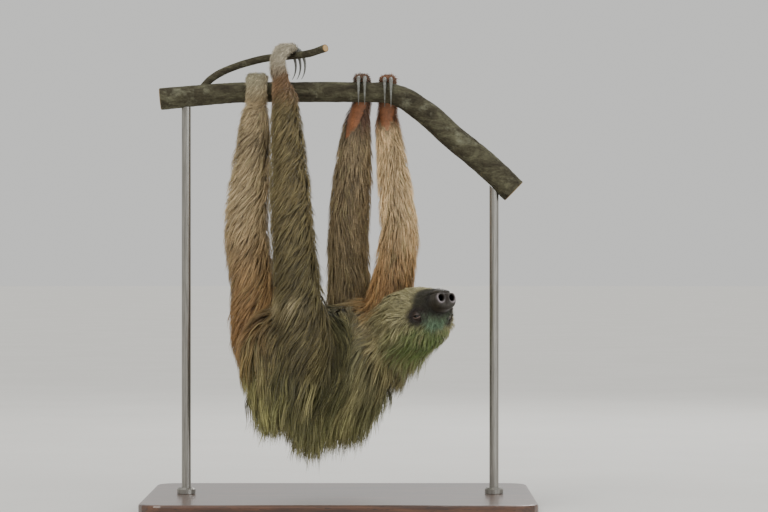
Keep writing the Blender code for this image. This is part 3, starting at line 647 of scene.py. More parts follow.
# Hair hangs free where the skin's normal is lower than the first, and lies along the skin from the second up.
FREE_HANG = (-0.95, -0.45)
CROWN_LONGER, CROWN_EDGE = 0.45, (0.01, 0.03)
LID_HAIR_SHARE, EYE_EDGE = 0.35, (0.008, 0.026)
LENGTH_CHANGE, LENGTH_BLOTCH = 0.15, 0.03
CROWN_DEEPER, CROWN_TURN = 0.9, (0.1, 0.9)
MUZZLE_EDGE, LID_BARE = (0.014, 0.022), (0.0072, 0.0092)
GRIP_REACH, GRIP_EDGE = 0.034, (0.30, 0.55)
PALM_WIDTH, PALM_POINT, PALM_WAVE, PALM_EDGE = 0.42, 0.55, 0.10, (0.0, 0.16)


def mane(points):
    """1 where the cheek's long hair sweeps back over the shoulder."""
    return spot(points[:, 0], points[:, 2], MANE_PLACE, MANE_SPREAD)


def brow_share(head):
    """1 where the pale bristles grow, between the eyes and the muzzle."""
    brow = spot(head[:, 0], head[:, 1], BROW_PLACE, BROW_SPREAD) * step_up(*BROW_EDGE, head[:, 2])
    return np.clip(1.3 * brow, 0, 1)


def eye_gap(head):
    """Distance to the nearer eye, for places on the head."""
    mirrored = np.stack((head[:, 0], np.abs(head[:, 1]), head[:, 2]), axis=1)
    return np.linalg.norm(mirrored - np.array((EYE_BACK, EYE_OUT, EYE_UP)), axis=1)


def flow(points, normals, place):
    """The direction in which the hair runs at each point, along the skin."""
    total = np.zeros_like(points)
    swept = MANE_FLOW * mane(points)[:, None]
    for index, name in enumerate(REGIONS):
        tangent, outward = place["tangent"][index], place["outward"][index]
        if name in LIMBS:
            direction = -tangent + np.cross(outward, -tangent) * LIMBS[name]["swirl"] + DOWN * LIMB_DROOP
        elif name == "head":
            head = in_head(points)
            brow = brow_share(head)[:, None]
            droop = HEAD_DROOP + CROWN_DROOP * np.clip(head[:, 2:3], 0, CROWN_REACH)
            direction = -np.array(FORWARD) + DOWN * droop
            direction = direction * (1 - brow) + np.array(UP) * brow
        elif name == "neck":
            direction = DOWN * NECK_DROOP - tangent * NECK_FORWARD + swept
        else:
            aside = outward * np.array((1.0, 1.0, 0.0)) * TRUNK_SPREAD * np.clip(normals[:, 2:3], 0, 1)
            direction = DOWN + aside + REARWARD * TRUNK_REARWARD + swept
        total += direction * place["weights"][index][:, None]
    total -= normals * (total * normals).sum(1, keepdims=True) * step_up(*FREE_HANG, normals[:, 2:3])
    return unit(total)


def hair_length(points, place):
    """How long the hair is at each point; the trunk's reaches down to the fringe."""
    head = in_head(points)
    length = np.zeros(len(points))
    for index, name in enumerate(REGIONS):
        if name in LIMBS:
            own = np.interp(place["share"][index], *LIMB_HAIR)
        elif name == "head":
            own = np.interp(head[:, 0], *HEAD_HAIR) * (1.0 + CROWN_LONGER * step_up(*CROWN_EDGE, head[:, 2]))
            own = own * (LID_HAIR_SHARE + (1 - LID_HAIR_SHARE) * step_up(*EYE_EDGE, eye_gap(head)))
            own = np.maximum(own, BRISTLE_HAIR * brow_share(head))
        elif name == "neck":
            own = np.full(len(points), NECK_HAIR)
        else:
            own = np.clip(points[:, 2] - np.interp(points[:, 0], *FRINGE), *TRUNK_HAIR)
        length += own * place["weights"][index]
    return length * (1.0 + LENGTH_CHANGE * ripple(points, LENGTH_BLOTCH, 1))


def coat_depth(points, normals, place):
    """How far the coat stands out of the skin at most: more on the crown and under the body."""
    head = in_head(points)
    under = np.clip(-normals[:, 2], 0, 1)
    depth = np.zeros(len(points))
    for index, name in enumerate(REGIONS):
        if name in LIMBS:
            own = np.interp(place["share"][index], *LIMB_DEPTH)
        elif name == "head":
            crown = step_up(*CROWN_TURN, normals @ np.array(UP))
            own = np.interp(head[:, 0], *HEAD_DEPTH) * (1.0 + CROWN_DEEPER * crown)
            own = own + BRISTLE_DEPTH * brow_share(head)
        else:
            level, extra = NECK_DEPTH if name == "neck" else TRUNK_DEPTH
            own = level + extra * under
        depth += own * place["weights"][index]
    return depth


def bareness(points, normals, place):
    """1 where the skin is bare: muzzle, lids and palms."""
    head = in_head(points)
    reach = head[:, 0] + 0.0025 * ripple(points, 0.006, 2) - 0.25 * np.clip(head[:, 2], 0, 1)
    muzzle = 1 - step_up(*MUZZLE_EDGE, reach)
    eyes = 1 - step_up(*LID_BARE, eye_gap(head))
    bare = np.maximum(muzzle, eyes) * weight_of(place, "head")
    for name in LIMBS:
        bare = np.maximum(bare, palm(points, normals, place, name))
    return bare


def palm(points, normals, place, name):
    """1 on the bare palm or sole: the side that grips, and a tongue of it that runs down the wrist."""
    limb = LIMBS[name]
    hook, axis = np.array(limb["hook"]), np.array(limb["axis"])
    near = np.cross((0.0, 0.0, 1.0), axis)
    drop = (hook[2] - limb["hook_radius"] - points[:, 2]) / limb["palm_length"]
    grip = (normals * unit(hook - points)).sum(1) * (np.linalg.norm(points - hook, axis=1) < GRIP_REACH)
    heel = unit(-near + axis * limb["palm_turn"])
    tongue = (normals @ heel) - PALM_WIDTH - PALM_POINT * np.clip(drop, 0, 1) ** 1.5
    tongue = tongue + PALM_WAVE * ripple(points, 0.008, 2)
    found = np.where(drop < 0, step_up(*GRIP_EDGE, grip), step_up(*PALM_EDGE, tongue) * (drop < 1))
    return found * weight_of(place, name)


# ---- colour ----
# Upper half, lower half and paw of each limb, and the shares between which the paw's colour sets in.
LIMB_COLOURS = {
    "right_hind": (linear(164, 132, 88), linear(200, 178, 138), linear(200, 192, 160), (1.04, 1.18)),
    "left_hind": (linear(100, 90, 57), linear(128, 114, 76), linear(206, 196, 172), (1.08, 1.18)),
    "right_fore": (linear(166, 148, 112), linear(168, 148, 114), linear(128, 98, 78), (0.93, 1.03)),
    "left_fore": (linear(186, 144, 94), linear(244, 212, 162), linear(148, 104, 76), (0.93, 1.03)),
}
UPPER_LOWER_CHANGE, ANKLE_CHANGE, ANKLE_STRENGTH = (0.25, 0.65), (0.94, 1.04), 0.8
# Darker bands, each a place, a spread and a strength: by the share along the limb, and by X.
HEEL_SHADE, ARM_SHADE, ANKLE_BROWN = (0.88, 0.06, 0.30), (0.072, 0.010, 0.30), linear(152, 116, 84)
TRUNK_DARK, TRUNK_LIGHT, TRUNK_FRINGE = linear(84, 82, 50), linear(170, 160, 112), linear(166, 164, 112)
THIGH_RED, RUMP_OLIVE, BLOND = linear(158, 116, 74), linear(146, 146, 88), linear(208, 192, 150)
BLOND_SPOTS, BLOND_SPREAD, BLOND_STRENGTH = ((-0.070, 0.280), (-0.049, 0.281)), (0.0055, 0.009), 0.65
CHEEK, CROWN, EYE_PATCH = linear(186, 178, 134), linear(130, 154, 86), linear(58, 49, 43)
BRISTLE, BRISTLE_ROOT = linear(172, 206, 166), linear(44, 62, 44)
MUZZLE, MASK, PALM = linear(44, 40, 32), linear(64, 61, 45), linear(140, 90, 58)
# The nostril rims' light colour is partly their own and partly a painted highlight.
LID_RIM, NOSTRIL_RIM = linear(142, 124, 114), linear(142, 134, 138)
# The second colour is painted shade: near black inside the nostrils.
SEPTUM, NOSTRIL_PAINTED_SHADE = linear(44, 36, 30), linear(9, 8, 8)
MANE_COLOUR, MANE_STRENGTH, NECK_COLOUR = CHEEK * 0.80, 0.55, 0.64 * CHEEK + 0.36 * TRUNK_DARK
EYE_PATCH_BACK, EYE_PATCH_SIZE, EYE_PATCH_EDGE = EYE_BACK - 0.003, (0.0165, 0.012, 0.0105), (0.80, 1.25)
CROWN_HEIGHTS, MUZZLE_FADE, MASK_FADE = (0.012, 0.040), (0.020, 0.034), (-0.014, 0.0)
# How far back the mask reaches, how much less it does above, and the heights between which that sets in.
MASK_REACH, MASK_LESS, MASK_HEIGHTS = 0.053, 0.017, (0.004, 0.018)
# Strength of the light streaks, the noise between which they show, their size and their stretch along Z.
TRUNK_STREAKS, NECK_STREAKS = (0.60, (0.15, 0.95), 0.035, 0.35), (0.5, (0.0, 0.9), 0.030, 0.5)
BACK_SHADE, BACK_HEIGHTS, FRINGE_HEIGHTS, FRINGE_STRENGTH = 0.80, (0.235, 0.165), (0.185, 0.130), 0.70
# The last value is painted shade: how much darker the skin under the coat is drawn.
BLOND_FRONT, BACK_LIGHTER, SKIN_SHADE = -0.05, 0.25, 0.50
# Lines of colour on the bare face, each a place and a spread.
NOSTRIL_RIM_LINE, LID_RIM_LINE, SEPTUM_LINE = (NOSTRIL_RADIUS * 1.18, 0.0012), (0.0005, 0.0006), (0.0, 0.0020)
UPPER_RIM, LOWER_RIM, SEPTUM_STRENGTH = 0.85, 0.25, 0.8
# Patches of colour on the body: colour, middle, spread along each axis and strength.
BODY_PATCHES = (
    (THIGH_RED, (-0.108, -0.075, 0.235), (0.04, 0.04, 0.055), 0.6),
    (RUMP_OLIVE, (-0.100, -0.100, 0.160), (0.045, 0.045, 0.050), 0.6),
)


def blend(low, high, share):
    return low + (high - low) * share[:, None]


def limb_markings(name, points, share):
    upper, lower, paw, paw_start = LIMB_COLOURS[name]
    own = blend(upper, lower, step_up(*UPPER_LOWER_CHANGE, share))
    if name == "right_hind":
        own = own * (1 - bell(share, *HEEL_SHADE))[:, None]
    elif name == "left_hind":
        own = blend(own, ANKLE_BROWN, ANKLE_STRENGTH * step_up(*ANKLE_CHANGE, share))
    own = blend(own, paw, step_up(*paw_start, share))
    if name == "left_fore":
        own = own * (1 - bell(points[:, 0], *ARM_SHADE) * (share < 0.95))[:, None]
    return own


def head_markings(points):
    """Green crown over light cheeks, with a dark mask to the eyes and a darker muzzle."""
    head = in_head(points)
    back, up, edge = head[:, 0], head[:, 2], ripple(points, 0.008, 2)
    own = blend(CHEEK, CROWN, step_up(*CROWN_HEIGHTS, up + 0.004 * ripple(points, 0.01, 1)))
    reach = MASK_REACH - MASK_LESS * step_up(*MASK_HEIGHTS, up) + 0.003 * edge
    own = blend(MASK, own, step_up(*MASK_FADE, back - reach))
    own = blend(own, BRISTLE_ROOT, brow_share(head))
    for sign in (1, -1):
        middle = np.array((EYE_PATCH_BACK, EYE_OUT * sign, EYE_UP))
        away = np.linalg.norm((head - middle) / np.array(EYE_PATCH_SIZE), axis=1)
        own = blend(own, EYE_PATCH, 1 - step_up(*EYE_PATCH_EDGE, away))
    return blend(MUZZLE, own, step_up(*MUZZLE_FADE, back + 0.003 * edge))


def streaked(colour, points, strength, edge, size, stretch):
    """The colour with light streaks that run up and down."""
    streaks = ripple(points * np.array((1.0, 1.0, stretch)), size)
    return blend(colour, TRUNK_LIGHT, strength * step_up(*edge, streaks))


def trunk_markings(points):
    """Dark olive with light streaks, and a lighter fringe under the back."""
    own = streaked(TRUNK_DARK, points, *TRUNK_STREAKS)
    own = own * (BACK_SHADE + BACK_LIGHTER * step_up(*BACK_HEIGHTS, points[:, 2]))[:, None]
    return blend(own, TRUNK_FRINGE, FRINGE_STRENGTH * step_up(*FRINGE_HEIGHTS, points[:, 2]))


def neck_markings(points):
    return streaked(NECK_COLOUR, points, *NECK_STREAKS)


BODY_MARKINGS = {"trunk": trunk_markings, "neck": neck_markings, "head": head_markings}


def markings(points, place):
    """The coat's colour at each point of the skin."""
    colours = np.zeros_like(points)
    for index, name in enumerate(REGIONS):
        if name in LIMBS:
            own = limb_markings(name, points, place["share"][index])
        else:
            own = BODY_MARKINGS[name](points)
        colours += own * place["weights"][index][:, None]
    for colour, middle, spread, strength in BODY_PATCHES:
        away = np.linalg.norm((points - np.array(middle)) / np.array(spread), axis=1)
        colours = blend(colours, colour, bell(away, 0.0, 1.0, strength))
    colours = blend(colours, MANE_COLOUR, MANE_STRENGTH * mane(points) * (1 - weight_of(place, "head")))
    for middle in BLOND_SPOTS:
        strength = spot(points[:, 0], points[:, 2], middle, BLOND_SPREAD) * (points[:, 1] < BLOND_FRONT)
        colours = blend(colours, BLOND, BLOND_STRENGTH * strength)
    return colours


def nostril_pits(points):
    """1 inside the nostrils, where their painted shade is drawn and their gloss is taken away."""
    head = in_head(points)
    ring = np.minimum(nostril_ring(head, 1), nostril_ring(head, -1))
    inside = 1 - step_up(NOSTRIL_RADIUS * 0.70, NOSTRIL_RADIUS * 0.98, ring)
    return inside * (1 - step_up(0.013, 0.017, head[:, 0])) * (head[:, 0] > -0.01)


def skin_colours(skin):
    """The same markings with painted shade under the coat, and the colours of the bare skin."""
    points, head = skin.points, in_head(skin.points)
    on_face = weight_of(skin.place, "head") > 0.5
    colours = blend(MUZZLE, EYE_PATCH * 0.8, step_up(0.030, 0.040, head[:, 0]))
    colours *= (1 + 0.25 * ripple(points, 0.005, 1))[:, None]
    for name in LIMBS:
        hand = palm(points, skin.normals, skin.place, name)
        bare_palm = PALM * (1 + 0.2 * ripple(points, 0.008, 2))[:, None]
        colours = blend(colours, bare_palm, step_up(0.0, 0.3, hand))
    for sign in (1, -1):
        aside = (head[:, 1] - NOSTRIL_OUT * sign) * sign
        front = (1 - step_up(0.004, 0.008, head[:, 0])) * on_face
        # Painted highlight: each nostril's light rim, partly its own colour, is drawn stronger on its upper
        # outer side.
        lit = 0.55 + 0.45 * np.clip((aside * 0.7 + head[:, 2] * 0.5) / 0.004, -1, 1)
        rim = bell(nostril_ring(head, sign), *NOSTRIL_RIM_LINE)
        colours = blend(colours, NOSTRIL_RIM, rim * front * lit)
        centre, gaze, along, across = eye_axes(sign)
        ahead, aside, above = (head - centre) @ gaze, (head - centre) @ along, (head - centre) @ across
        opening = SLIT_HEIGHT * np.sqrt(np.clip(1 - (aside / SLIT_LENGTH) ** 2, 0, 1))
        rim = bell(np.abs(above) - opening, *LID_RIM_LINE) * (ahead > 0.002) * (np.abs(aside) < SLIT_LENGTH)
        colours = blend(colours, LID_RIM, np.where(above > 0, UPPER_RIM, LOWER_RIM) * rim)
    # Painted shade: the insides of the nostrils are drawn near black.
    colours = blend(colours, NOSTRIL_PAINTED_SHADE, nostril_pits(points) * on_face)
    middle = bell(head[:, 1], *SEPTUM_LINE) * (head[:, 0] < SEPTUM_BACK) * on_face
    colours = blend(colours, SEPTUM, SEPTUM_STRENGTH * middle)
    # Painted shade: under the coat the skin shows the markings darkened by SKIN_SHADE.
    return blend(markings(points, skin.place) * SKIN_SHADE, colours, skin.bare)


# ---- materials ----
class Look:
    """A Principled material, built node by node in the object's own coordinates."""

    def __init__(self, name, **settings):
        self.material = bpy.data.materials.new(name)
        self.material.use_nodes = True
        self.tree = self.material.node_tree
        self.shader = self.tree.nodes["Principled BSDF"]
        for socket, value in settings.items():
            self.shader.inputs[socket.replace("_", " ")].default_value = value

    def drive(self, socket, source):
        self.tree.links.new(source, self.shader.inputs[socket])

    def node(self, kind, inputs, **settings):
        """A new node whose inputs are set to values or linked to other nodes."""
        made = self.tree.nodes.new("ShaderNode" + kind)
        for name, value in settings.items():
            setattr(made, name, value)
        for socket, value in inputs.items():
            if isinstance(value, bpy.types.NodeSocket):
                self.tree.links.new(value, made.inputs[socket])
            else:
                made.inputs[socket].default_value = value
        return made

    def points(self, stretch=(1.0, 1.0, 1.0)):
        source = self.node("TexCoord", {}).outputs["Object"]
        return self.node("Mapping", {"Vector": source, "Scale": stretch}).outputs["Vector"]

    def noise(self, scale, detail, roughness=0.6, distortion=0.0, stretch=(1.0, 1.0, 1.0)):
        return self.node("TexNoise", {
            "Vector": self.points(stretch), "Scale": scale, "Detail": detail, "Roughness": roughness,
            "Distortion": distortion}).outputs["Fac"]

    def attribute(self, name, output="Fac"):
        return self.node("Attribute", {}, attribute_name=name).outputs[output]

    def ramp(self, source, *stops):
        """Each stop is a position and a grey or a linear colour."""
        made = self.node("ValToRGB", {"Fac": source})
        elements = made.color_ramp.elements
        while len(elements) < len(stops):
            elements.new(0.5)
        for element, (position, colour) in zip(elements, stops):
            element.position, element.color = position, (*np.broadcast_to(colour, 3), 1.0)
        return made.outputs["Color"]

    def tones(self, source, *stops):
        """Each stop is a position and a display colour of 0 to 255."""
        return self.ramp(source, *[(position, linear(*colour)) for position, *colour in stops])

    def mix(self, factor, first, second, mode="MIX"):
        inputs = {0: factor, 6: first, 7: second}
        return self.node("Mix", inputs, data_type="RGBA", blend_type=mode).outputs[2]

    def multiply(self, first, second):
        return self.mix(1.0, first, second, "MULTIPLY")

    def map_range(self, source, low, high, start=0.0, end=1.0):
        return self.node("MapRange", {"Value": source, "From Min": start, "From Max": end,
                                      "To Min": low, "To Max": high}).outputs["Result"]

    def bump(self, *heights):
        """Chained bumps, each a height source, a strength and a distance."""
        normal = None
        for source, strength, distance in heights:
            made = self.node("Bump", {"Height": source, "Strength": strength, "Distance": distance})
            if normal:
                self.tree.links.new(normal, made.inputs["Normal"])
            normal = made.outputs["Normal"]
        self.drive("Normal", normal)


def coat_material():
    look = Look("hair", Roughness=0.62, Specular_IOR_Level=0.28, Sheen_Weight=0.15, Sheen_Roughness=0.5)
    fine = look.ramp(look.noise(620, 2), (0.3, 0.78), (0.7, 1.2))
    look.drive("Base Color", look.multiply(look.attribute("fur", "Color"), fine))
    look.bump((look.noise(2600, 2, stretch=(1.0, 1.0, 0.25)), 0.5, 0.0003))
    return look.material


def skin_material():
    """Glossier where it is bare, and without gloss in the nostrils."""
    look = Look("skin")
    mottle = look.ramp(look.noise(420, 5), (0.3, 0.72), (0.7, (1.25, 1.22, 1.2)))
    look.drive("Base Color", look.multiply(look.attribute("fur", "Color"), mottle))
    look.drive("Roughness", look.map_range(look.attribute("bare"), 0.85, 0.50))
    look.drive("Specular IOR Level", look.map_range(look.attribute("pit"), 0.4, 0.0))
    cells = look.node("TexVoronoi", {"Vector": look.points(), "Scale": 850}).outputs["Distance"]
    look.bump((cells, 0.35, 0.0004), (look.noise(300, 4), 0.5, 0.0006))
    return look.material


def claw_material():
    look = Look("horn", Roughness=0.5, Specular_IOR_Level=0.35)
    look.drive("Base Color", look.tones(look.noise(160, 5, distortion=0.6), (0.25, 72, 68, 62),
                                        (0.5, 112, 112, 106), (0.78, 150, 154, 150)))
    look.bump((look.noise(900, 3), 0.3, 0.0003))
    return look.material


def eye_material():
    """A brown iris round a dark pupil, by how far ahead of the eye's middle a point is."""
    look = Look("eye", Roughness=0.22, Specular_IOR_Level=0.4, Coat_Weight=0.35, Coat_Roughness=0.06)
    ahead = look.node("SeparateXYZ", {"Vector": look.points()}).outputs["Z"]
    tone = look.tones(look.map_range(ahead, 0.0, 1.0, IRIS_START, EYE_RADIUS), (0.0, 70, 52, 40),
                      (0.35, 58, 36, 22), (0.60, 44, 25, 14), (0.72, 8, 6, 5), (1.0, 5, 4, 4))
    fibres = look.ramp(look.noise(1500, 3), (0.3, 0.7), (0.7, 1.3))
    look.drive("Base Color", look.multiply(tone, fibres))
    return look.material


def bark_material():
    """Flaking bark with lichen, and pale wood with year rings on the saw cuts."""
    look = Look("bark", Roughness=0.90, Specular_IOR_Level=0.18)
    along = (0.45, 1.0, 1.0)
    tone = look.tones(look.noise(70, 8, 0.65, 0.5, along), (0.28, 44, 39, 31), (0.48, 70, 66, 52),
                      (0.66, 98, 96, 76), (0.82, 136, 136, 112))
    lichen = look.ramp(look.noise(38, 5, 0.7), (0.58, 0), (0.74, 0.7))
    tone = look.mix(lichen, tone, (*linear(128, 128, 108), 1.0))
    flakes = look.ramp(look.noise(520, 4, 0.7, stretch=(0.35, 1.0, 1.0)), (0.30, (0.62, 0.61, 0.58)),
                       (0.50, 1.0), (0.72, (1.30, 1.29, 1.24)))
    wood = look.tones(look.attribute("rings"), (0.0, 176, 142, 98), (0.5, 204, 174, 128), (1.0, 150, 116, 78))
    look.drive("Base Color", look.mix(look.attribute("cut"), look.multiply(tone, flakes), wood))
    look.bump((look.noise(130, 6, 0.7, stretch=along), 0.8, 0.0020),
              (look.noise(520, 4, 0.7, stretch=along), 0.7, 0.0008))
    return look.material


def varnish_material():
    look = Look("stand_wood", Roughness=0.34, Coat_Weight=0.5, Coat_Roughness=0.15)
    tone = look.tones(look.noise(9, 9, 0.62, 1.4, (0.55, 7.0, 7.0)), (0.30, 46, 28, 19), (0.48, 74, 45, 29),
                      (0.62, 98, 62, 40), (0.80, 60, 36, 24))
    pores = look.noise(14, 3, stretch=(6.0, 90.0, 90.0))
    pore_share = look.ramp(pores, (0.58, 0), (0.68, 1))
    look.drive("Base Color", look.mix(pore_share, tone, (*linear(34, 20, 14), 1.0)))
    look.bump((pores, 0.12, 0.0002))
    return look.material


def steel_material():
    look = Look("stand_metal", Metallic=1.0)
    streaks = look.noise(5, 3, stretch=(260.0, 260.0, 6.0))
    look.drive("Base Color", look.tones(streaks, (0.3, 126, 123, 118), (0.7, 168, 165, 158)))
    look.drive("Roughness", look.map_range(streaks, 0.28, 0.46))
    look.bump((streaks, 0.15, 0.0001))
    return look.material


def floor_material():
    look = Look("floor", Roughness=0.8, Specular_IOR_Level=0.2)
    tone = look.ramp(look.noise(3, 5), (0.3, (0.70, 0.69, 0.66)), (0.7, (0.74, 0.73, 0.70)))
    look.drive("Base Color", tone)
    return look.material


# ---- the coat's tufts ----
class Skin:
    """The finished skin with its normals, tree and areas for choosing roots."""

    def __init__(self, data):
        self.points, self.normals = read_points(data), read_points(data, "normal")
        corners = np.empty(len(data.polygons) * 3, np.int32)
        data.loops.foreach_get("vertex_index", corners)
        self.triangles = corners.reshape(-1, 3)
        a, b, c = (self.points[self.triangles[:, k]] for k in range(3))
        self.areas = np.linalg.norm(np.cross(b - a, c - a), axis=1) / 2
        self.tree = BVHTree.FromPolygons(self.points.tolist(), self.triangles.tolist())
        self.place = describe(self.points)
        self.bare = bareness(self.points, self.normals, self.place)

    def scatter(self, region, count, density):
        """Root points and normals spread over the region's hairy faces."""
        hairy = self.bare[self.triangles].mean(1) < 0.5
        weight = self.areas * (self.place["main"][self.triangles[:, 0]] == region) * hairy
        weight = weight * density[self.triangles].mean(1)
        edges = np.cumsum(weight)
        spots = (np.arange(count) + RANDOM.random(count)) / count * edges[-1]
        chosen = np.minimum(np.searchsorted(edges, spots), len(weight) - 1)
        u, v = RANDOM.random(count), RANDOM.random(count)
        flip = u + v > 1
        u[flip], v[flip] = 1 - u[flip], 1 - v[flip]
        share = np.stack((1 - u - v, u, v), axis=1)[:, :, None]
        corners = self.triangles[chosen]
        return (self.points[corners] * share).sum(1), unit((self.normals[corners] * share).sum(1))

    def nearest(self, points):
        """Normal of the nearest skin point, and the signed distance from it."""
        found = [self.tree.find_nearest(point)[:2] for point in points.tolist()]
        spots, normals = np.array([row[0] for row in found]), np.array([row[1] for row in found])
        return normals, ((points - spots) * normals).sum(1)


def grow(skin, roots, normals, coat):
    """Guide paths that follow the flow, lie over the skin and hang where nothing is under them."""
    count = len(roots)
    place = describe(roots)
    depth = coat_depth(roots, normals, place)
    length = hair_length(roots, place) * RANDOM.uniform(*LENGTH_RANGE, count)
    level = RANDOM.uniform(*LEVEL_RANGE, count) ** LEVEL_CURVE
    step = (length / GUIDE_STEPS)[:, None]
    paths = np.empty((GUIDE_STEPS + 1, count, 3))
    facing = np.empty_like(paths)
    paths[0], facing[0] = roots, normals
    direction = unit(flow(roots, normals, place) + normals * ROOT_LIFT)
    wander = RANDOM.normal(size=(count, 3)) * WANDER
    for k in range(1, GUIDE_STEPS + 1):
        t = k / GUIDE_STEPS
        before, here = paths[k - 1], facing[k - 1]
        run = flow(before, here, describe(before))
        phase = before[:, 2] / WAVE_LENGTH * math.tau + WAVE_DRIFT * ripple(before, WAVE_BLOTCH, 2)
        swing = unit(np.cross(run, here)) * (coat["wave"] * np.sin(phase))[:, None]
        wanted = run + DOWN * coat["droop"] * t + wander + swing
        direction = unit(direction * STEADINESS + unit(wanted) * (1 - STEADINESS))
        point = before + direction * step
        found, distance = skin.nearest(point)
        floor = depth * level * (1 - math.exp(-LIFT_RATE * t)) * (1 - TIP_FALL * t)
        roof = depth * ROOF + HANGING_ROOM * (found[:, 2] < HANGING_NORMAL)
        paths[k] = point + found * (np.clip(distance, floor, roof) - distance)[:, None]
        facing[k] = found
    return paths, facing


def clumped(paths, facing, roots, coat):
    """Each tuft follows its nearest guide and closes in on it towards the tip."""
    tree = KDTree(len(paths[0]))
    for index, root in enumerate(paths[0].tolist()):
        tree.insert(root, index)
    tree.balance()
    mine = np.array([tree.find(root)[1] for root in roots.tolist()])
    reach = RANDOM.uniform(*REACH_RANGE, len(roots))
    offset = roots - paths[0, mine]
    stray = RANDOM.normal(size=(len(roots), 3)) * coat["stray"]
    loners = (RANDOM.random(len(roots)) < LONER_SHARE)[:, None]
    stray = stray * np.where(loners, LONER_STRAY, 1.0)
    lines, outs = [], []
    for ring in range(coat["rings"] + 1):
        t = ring / coat["rings"]
        position = np.clip(t * reach, 0, 1) * GUIDE_STEPS
        low = np.minimum(position.astype(int), GUIDE_STEPS - 1)
        part = (position - low)[:, None]
        spots = paths[low, mine] * (1 - part) + paths[low + 1, mine] * part
        beyond = np.clip(t * reach - 1, 0, None)[:, None] * (paths[-1, mine] - paths[-2, mine]) * GUIDE_STEPS
        lines.append(spots + beyond + offset * (1 - coat["closing"] * t**CLOSING_CURVE) + stray * t)
        outs.append(facing[low, mine])
    return np.array(lines), np.array(outs), mine


def tuft_mesh(name, lines, outs, widths, colours, tips, uv):
    """Closed three-sided locks from root to tip, with a patch of the OFBake map for each."""
    rings, count = lines.shape[0] - 1, lines.shape[1]
    size = rings * 3 + 1
    tangents = unit(np.gradient(lines, axis=0))
    sides = unit(np.cross(tangents, outs))
    ups = np.cross(sides, tangents)
    points, shade, spread = np.empty((count, size, 3)), np.empty((count, size, 3)), np.empty((count, size, 2))
    for ring in range(rings):
        t = ring / rings
        belly = 0.75 + 0.5 * math.sin(math.pi * min(1.0, t * 1.3 + 0.15))
        width = (widths * (1 - t) ** TUFT_TAPER * belly)[:, None]
        base = lines[ring] - (outs[0] * ROOT_DEPTH if ring == 0 else 0.0)
        for corner, (aside, rise) in enumerate(TUFT_CORNERS):
            at = ring * 3 + corner
            points[:, at] = base + sides[ring] * width * aside + ups[ring] * width * rise
            spread[:, at] = uv + np.array((aside, 2 * t - 1)) * PATCH
            # Painted shade: each tuft is drawn darker at its root, deep in the coat, and lighter towards its
            # tip.
            shade[:, at] = colours * (ROOT_SHADE + (TIP_SHADE - ROOT_SHADE) * t**SHADE_CURVE) + tips * t**2
    points[:, -1] = lines[-1]
    shade[:, -1] = colours * TIP_SHADE + tips
    spread[:, -1] = uv + np.array((0.0, PATCH))
    last, tip = size - 4, size - 1
    faces = [(0, 2, 1), *tube_faces(rings, 3)] + [(last + k, last + (k + 1) % 3, tip) for k in range(3)]
    outward = np.array(faces)[:, ::-1]
    triangles = (outward + (np.arange(count) * size)[:, None, None]).reshape(-1, 3)
    data = array_mesh(name, points.reshape(-1, 3), triangles)
    paint(data, shade.reshape(-1, 3))
    layer = data.uv_layers.new(name="OFBake")
    layer.data.foreach_set("uv", spread.reshape(-1, 2)[triangles.ravel()].astype(np.float32).ravel())
    return data


def unwrap(roots, region):
    """A map of the region's skin: how far round its middle line, and how far along it."""
    _, share, tangent, outward = along_chain(roots, region)
    reference = np.array((0.0, 1.0, 0.0) if region in LIMBS else (0.0, 0.0, 1.0))
    aside = unit(np.cross(tangent, reference))
    ahead = np.cross(aside, tangent)
    angle = np.arctan2((outward * aside).sum(1), (outward * ahead).sum(1)) / math.tau + 0.5
    if region == "head":
        share = in_head(roots)[:, 0]
    along = (share - share.min()) / max(share.max() - share.min(), 1e-9)
    return MAP_MARGIN + (1 - 2 * MAP_MARGIN) * np.stack((angle, along), axis=1)


def root_density(skin, region):
    """Where tufts stand closer: towards the paws, and on the face, where hair is short."""
    if region in LIMBS:
        return 1 + 2.0 * step_up(0.8, 1.05, skin.place["share"][REGIONS.index(region)])
    if region == "head":
        return 1 + 4.0 * (1 - step_up(0.040, 0.075, in_head(skin.points)[:, 0]))
    return np.ones(len(skin.points))


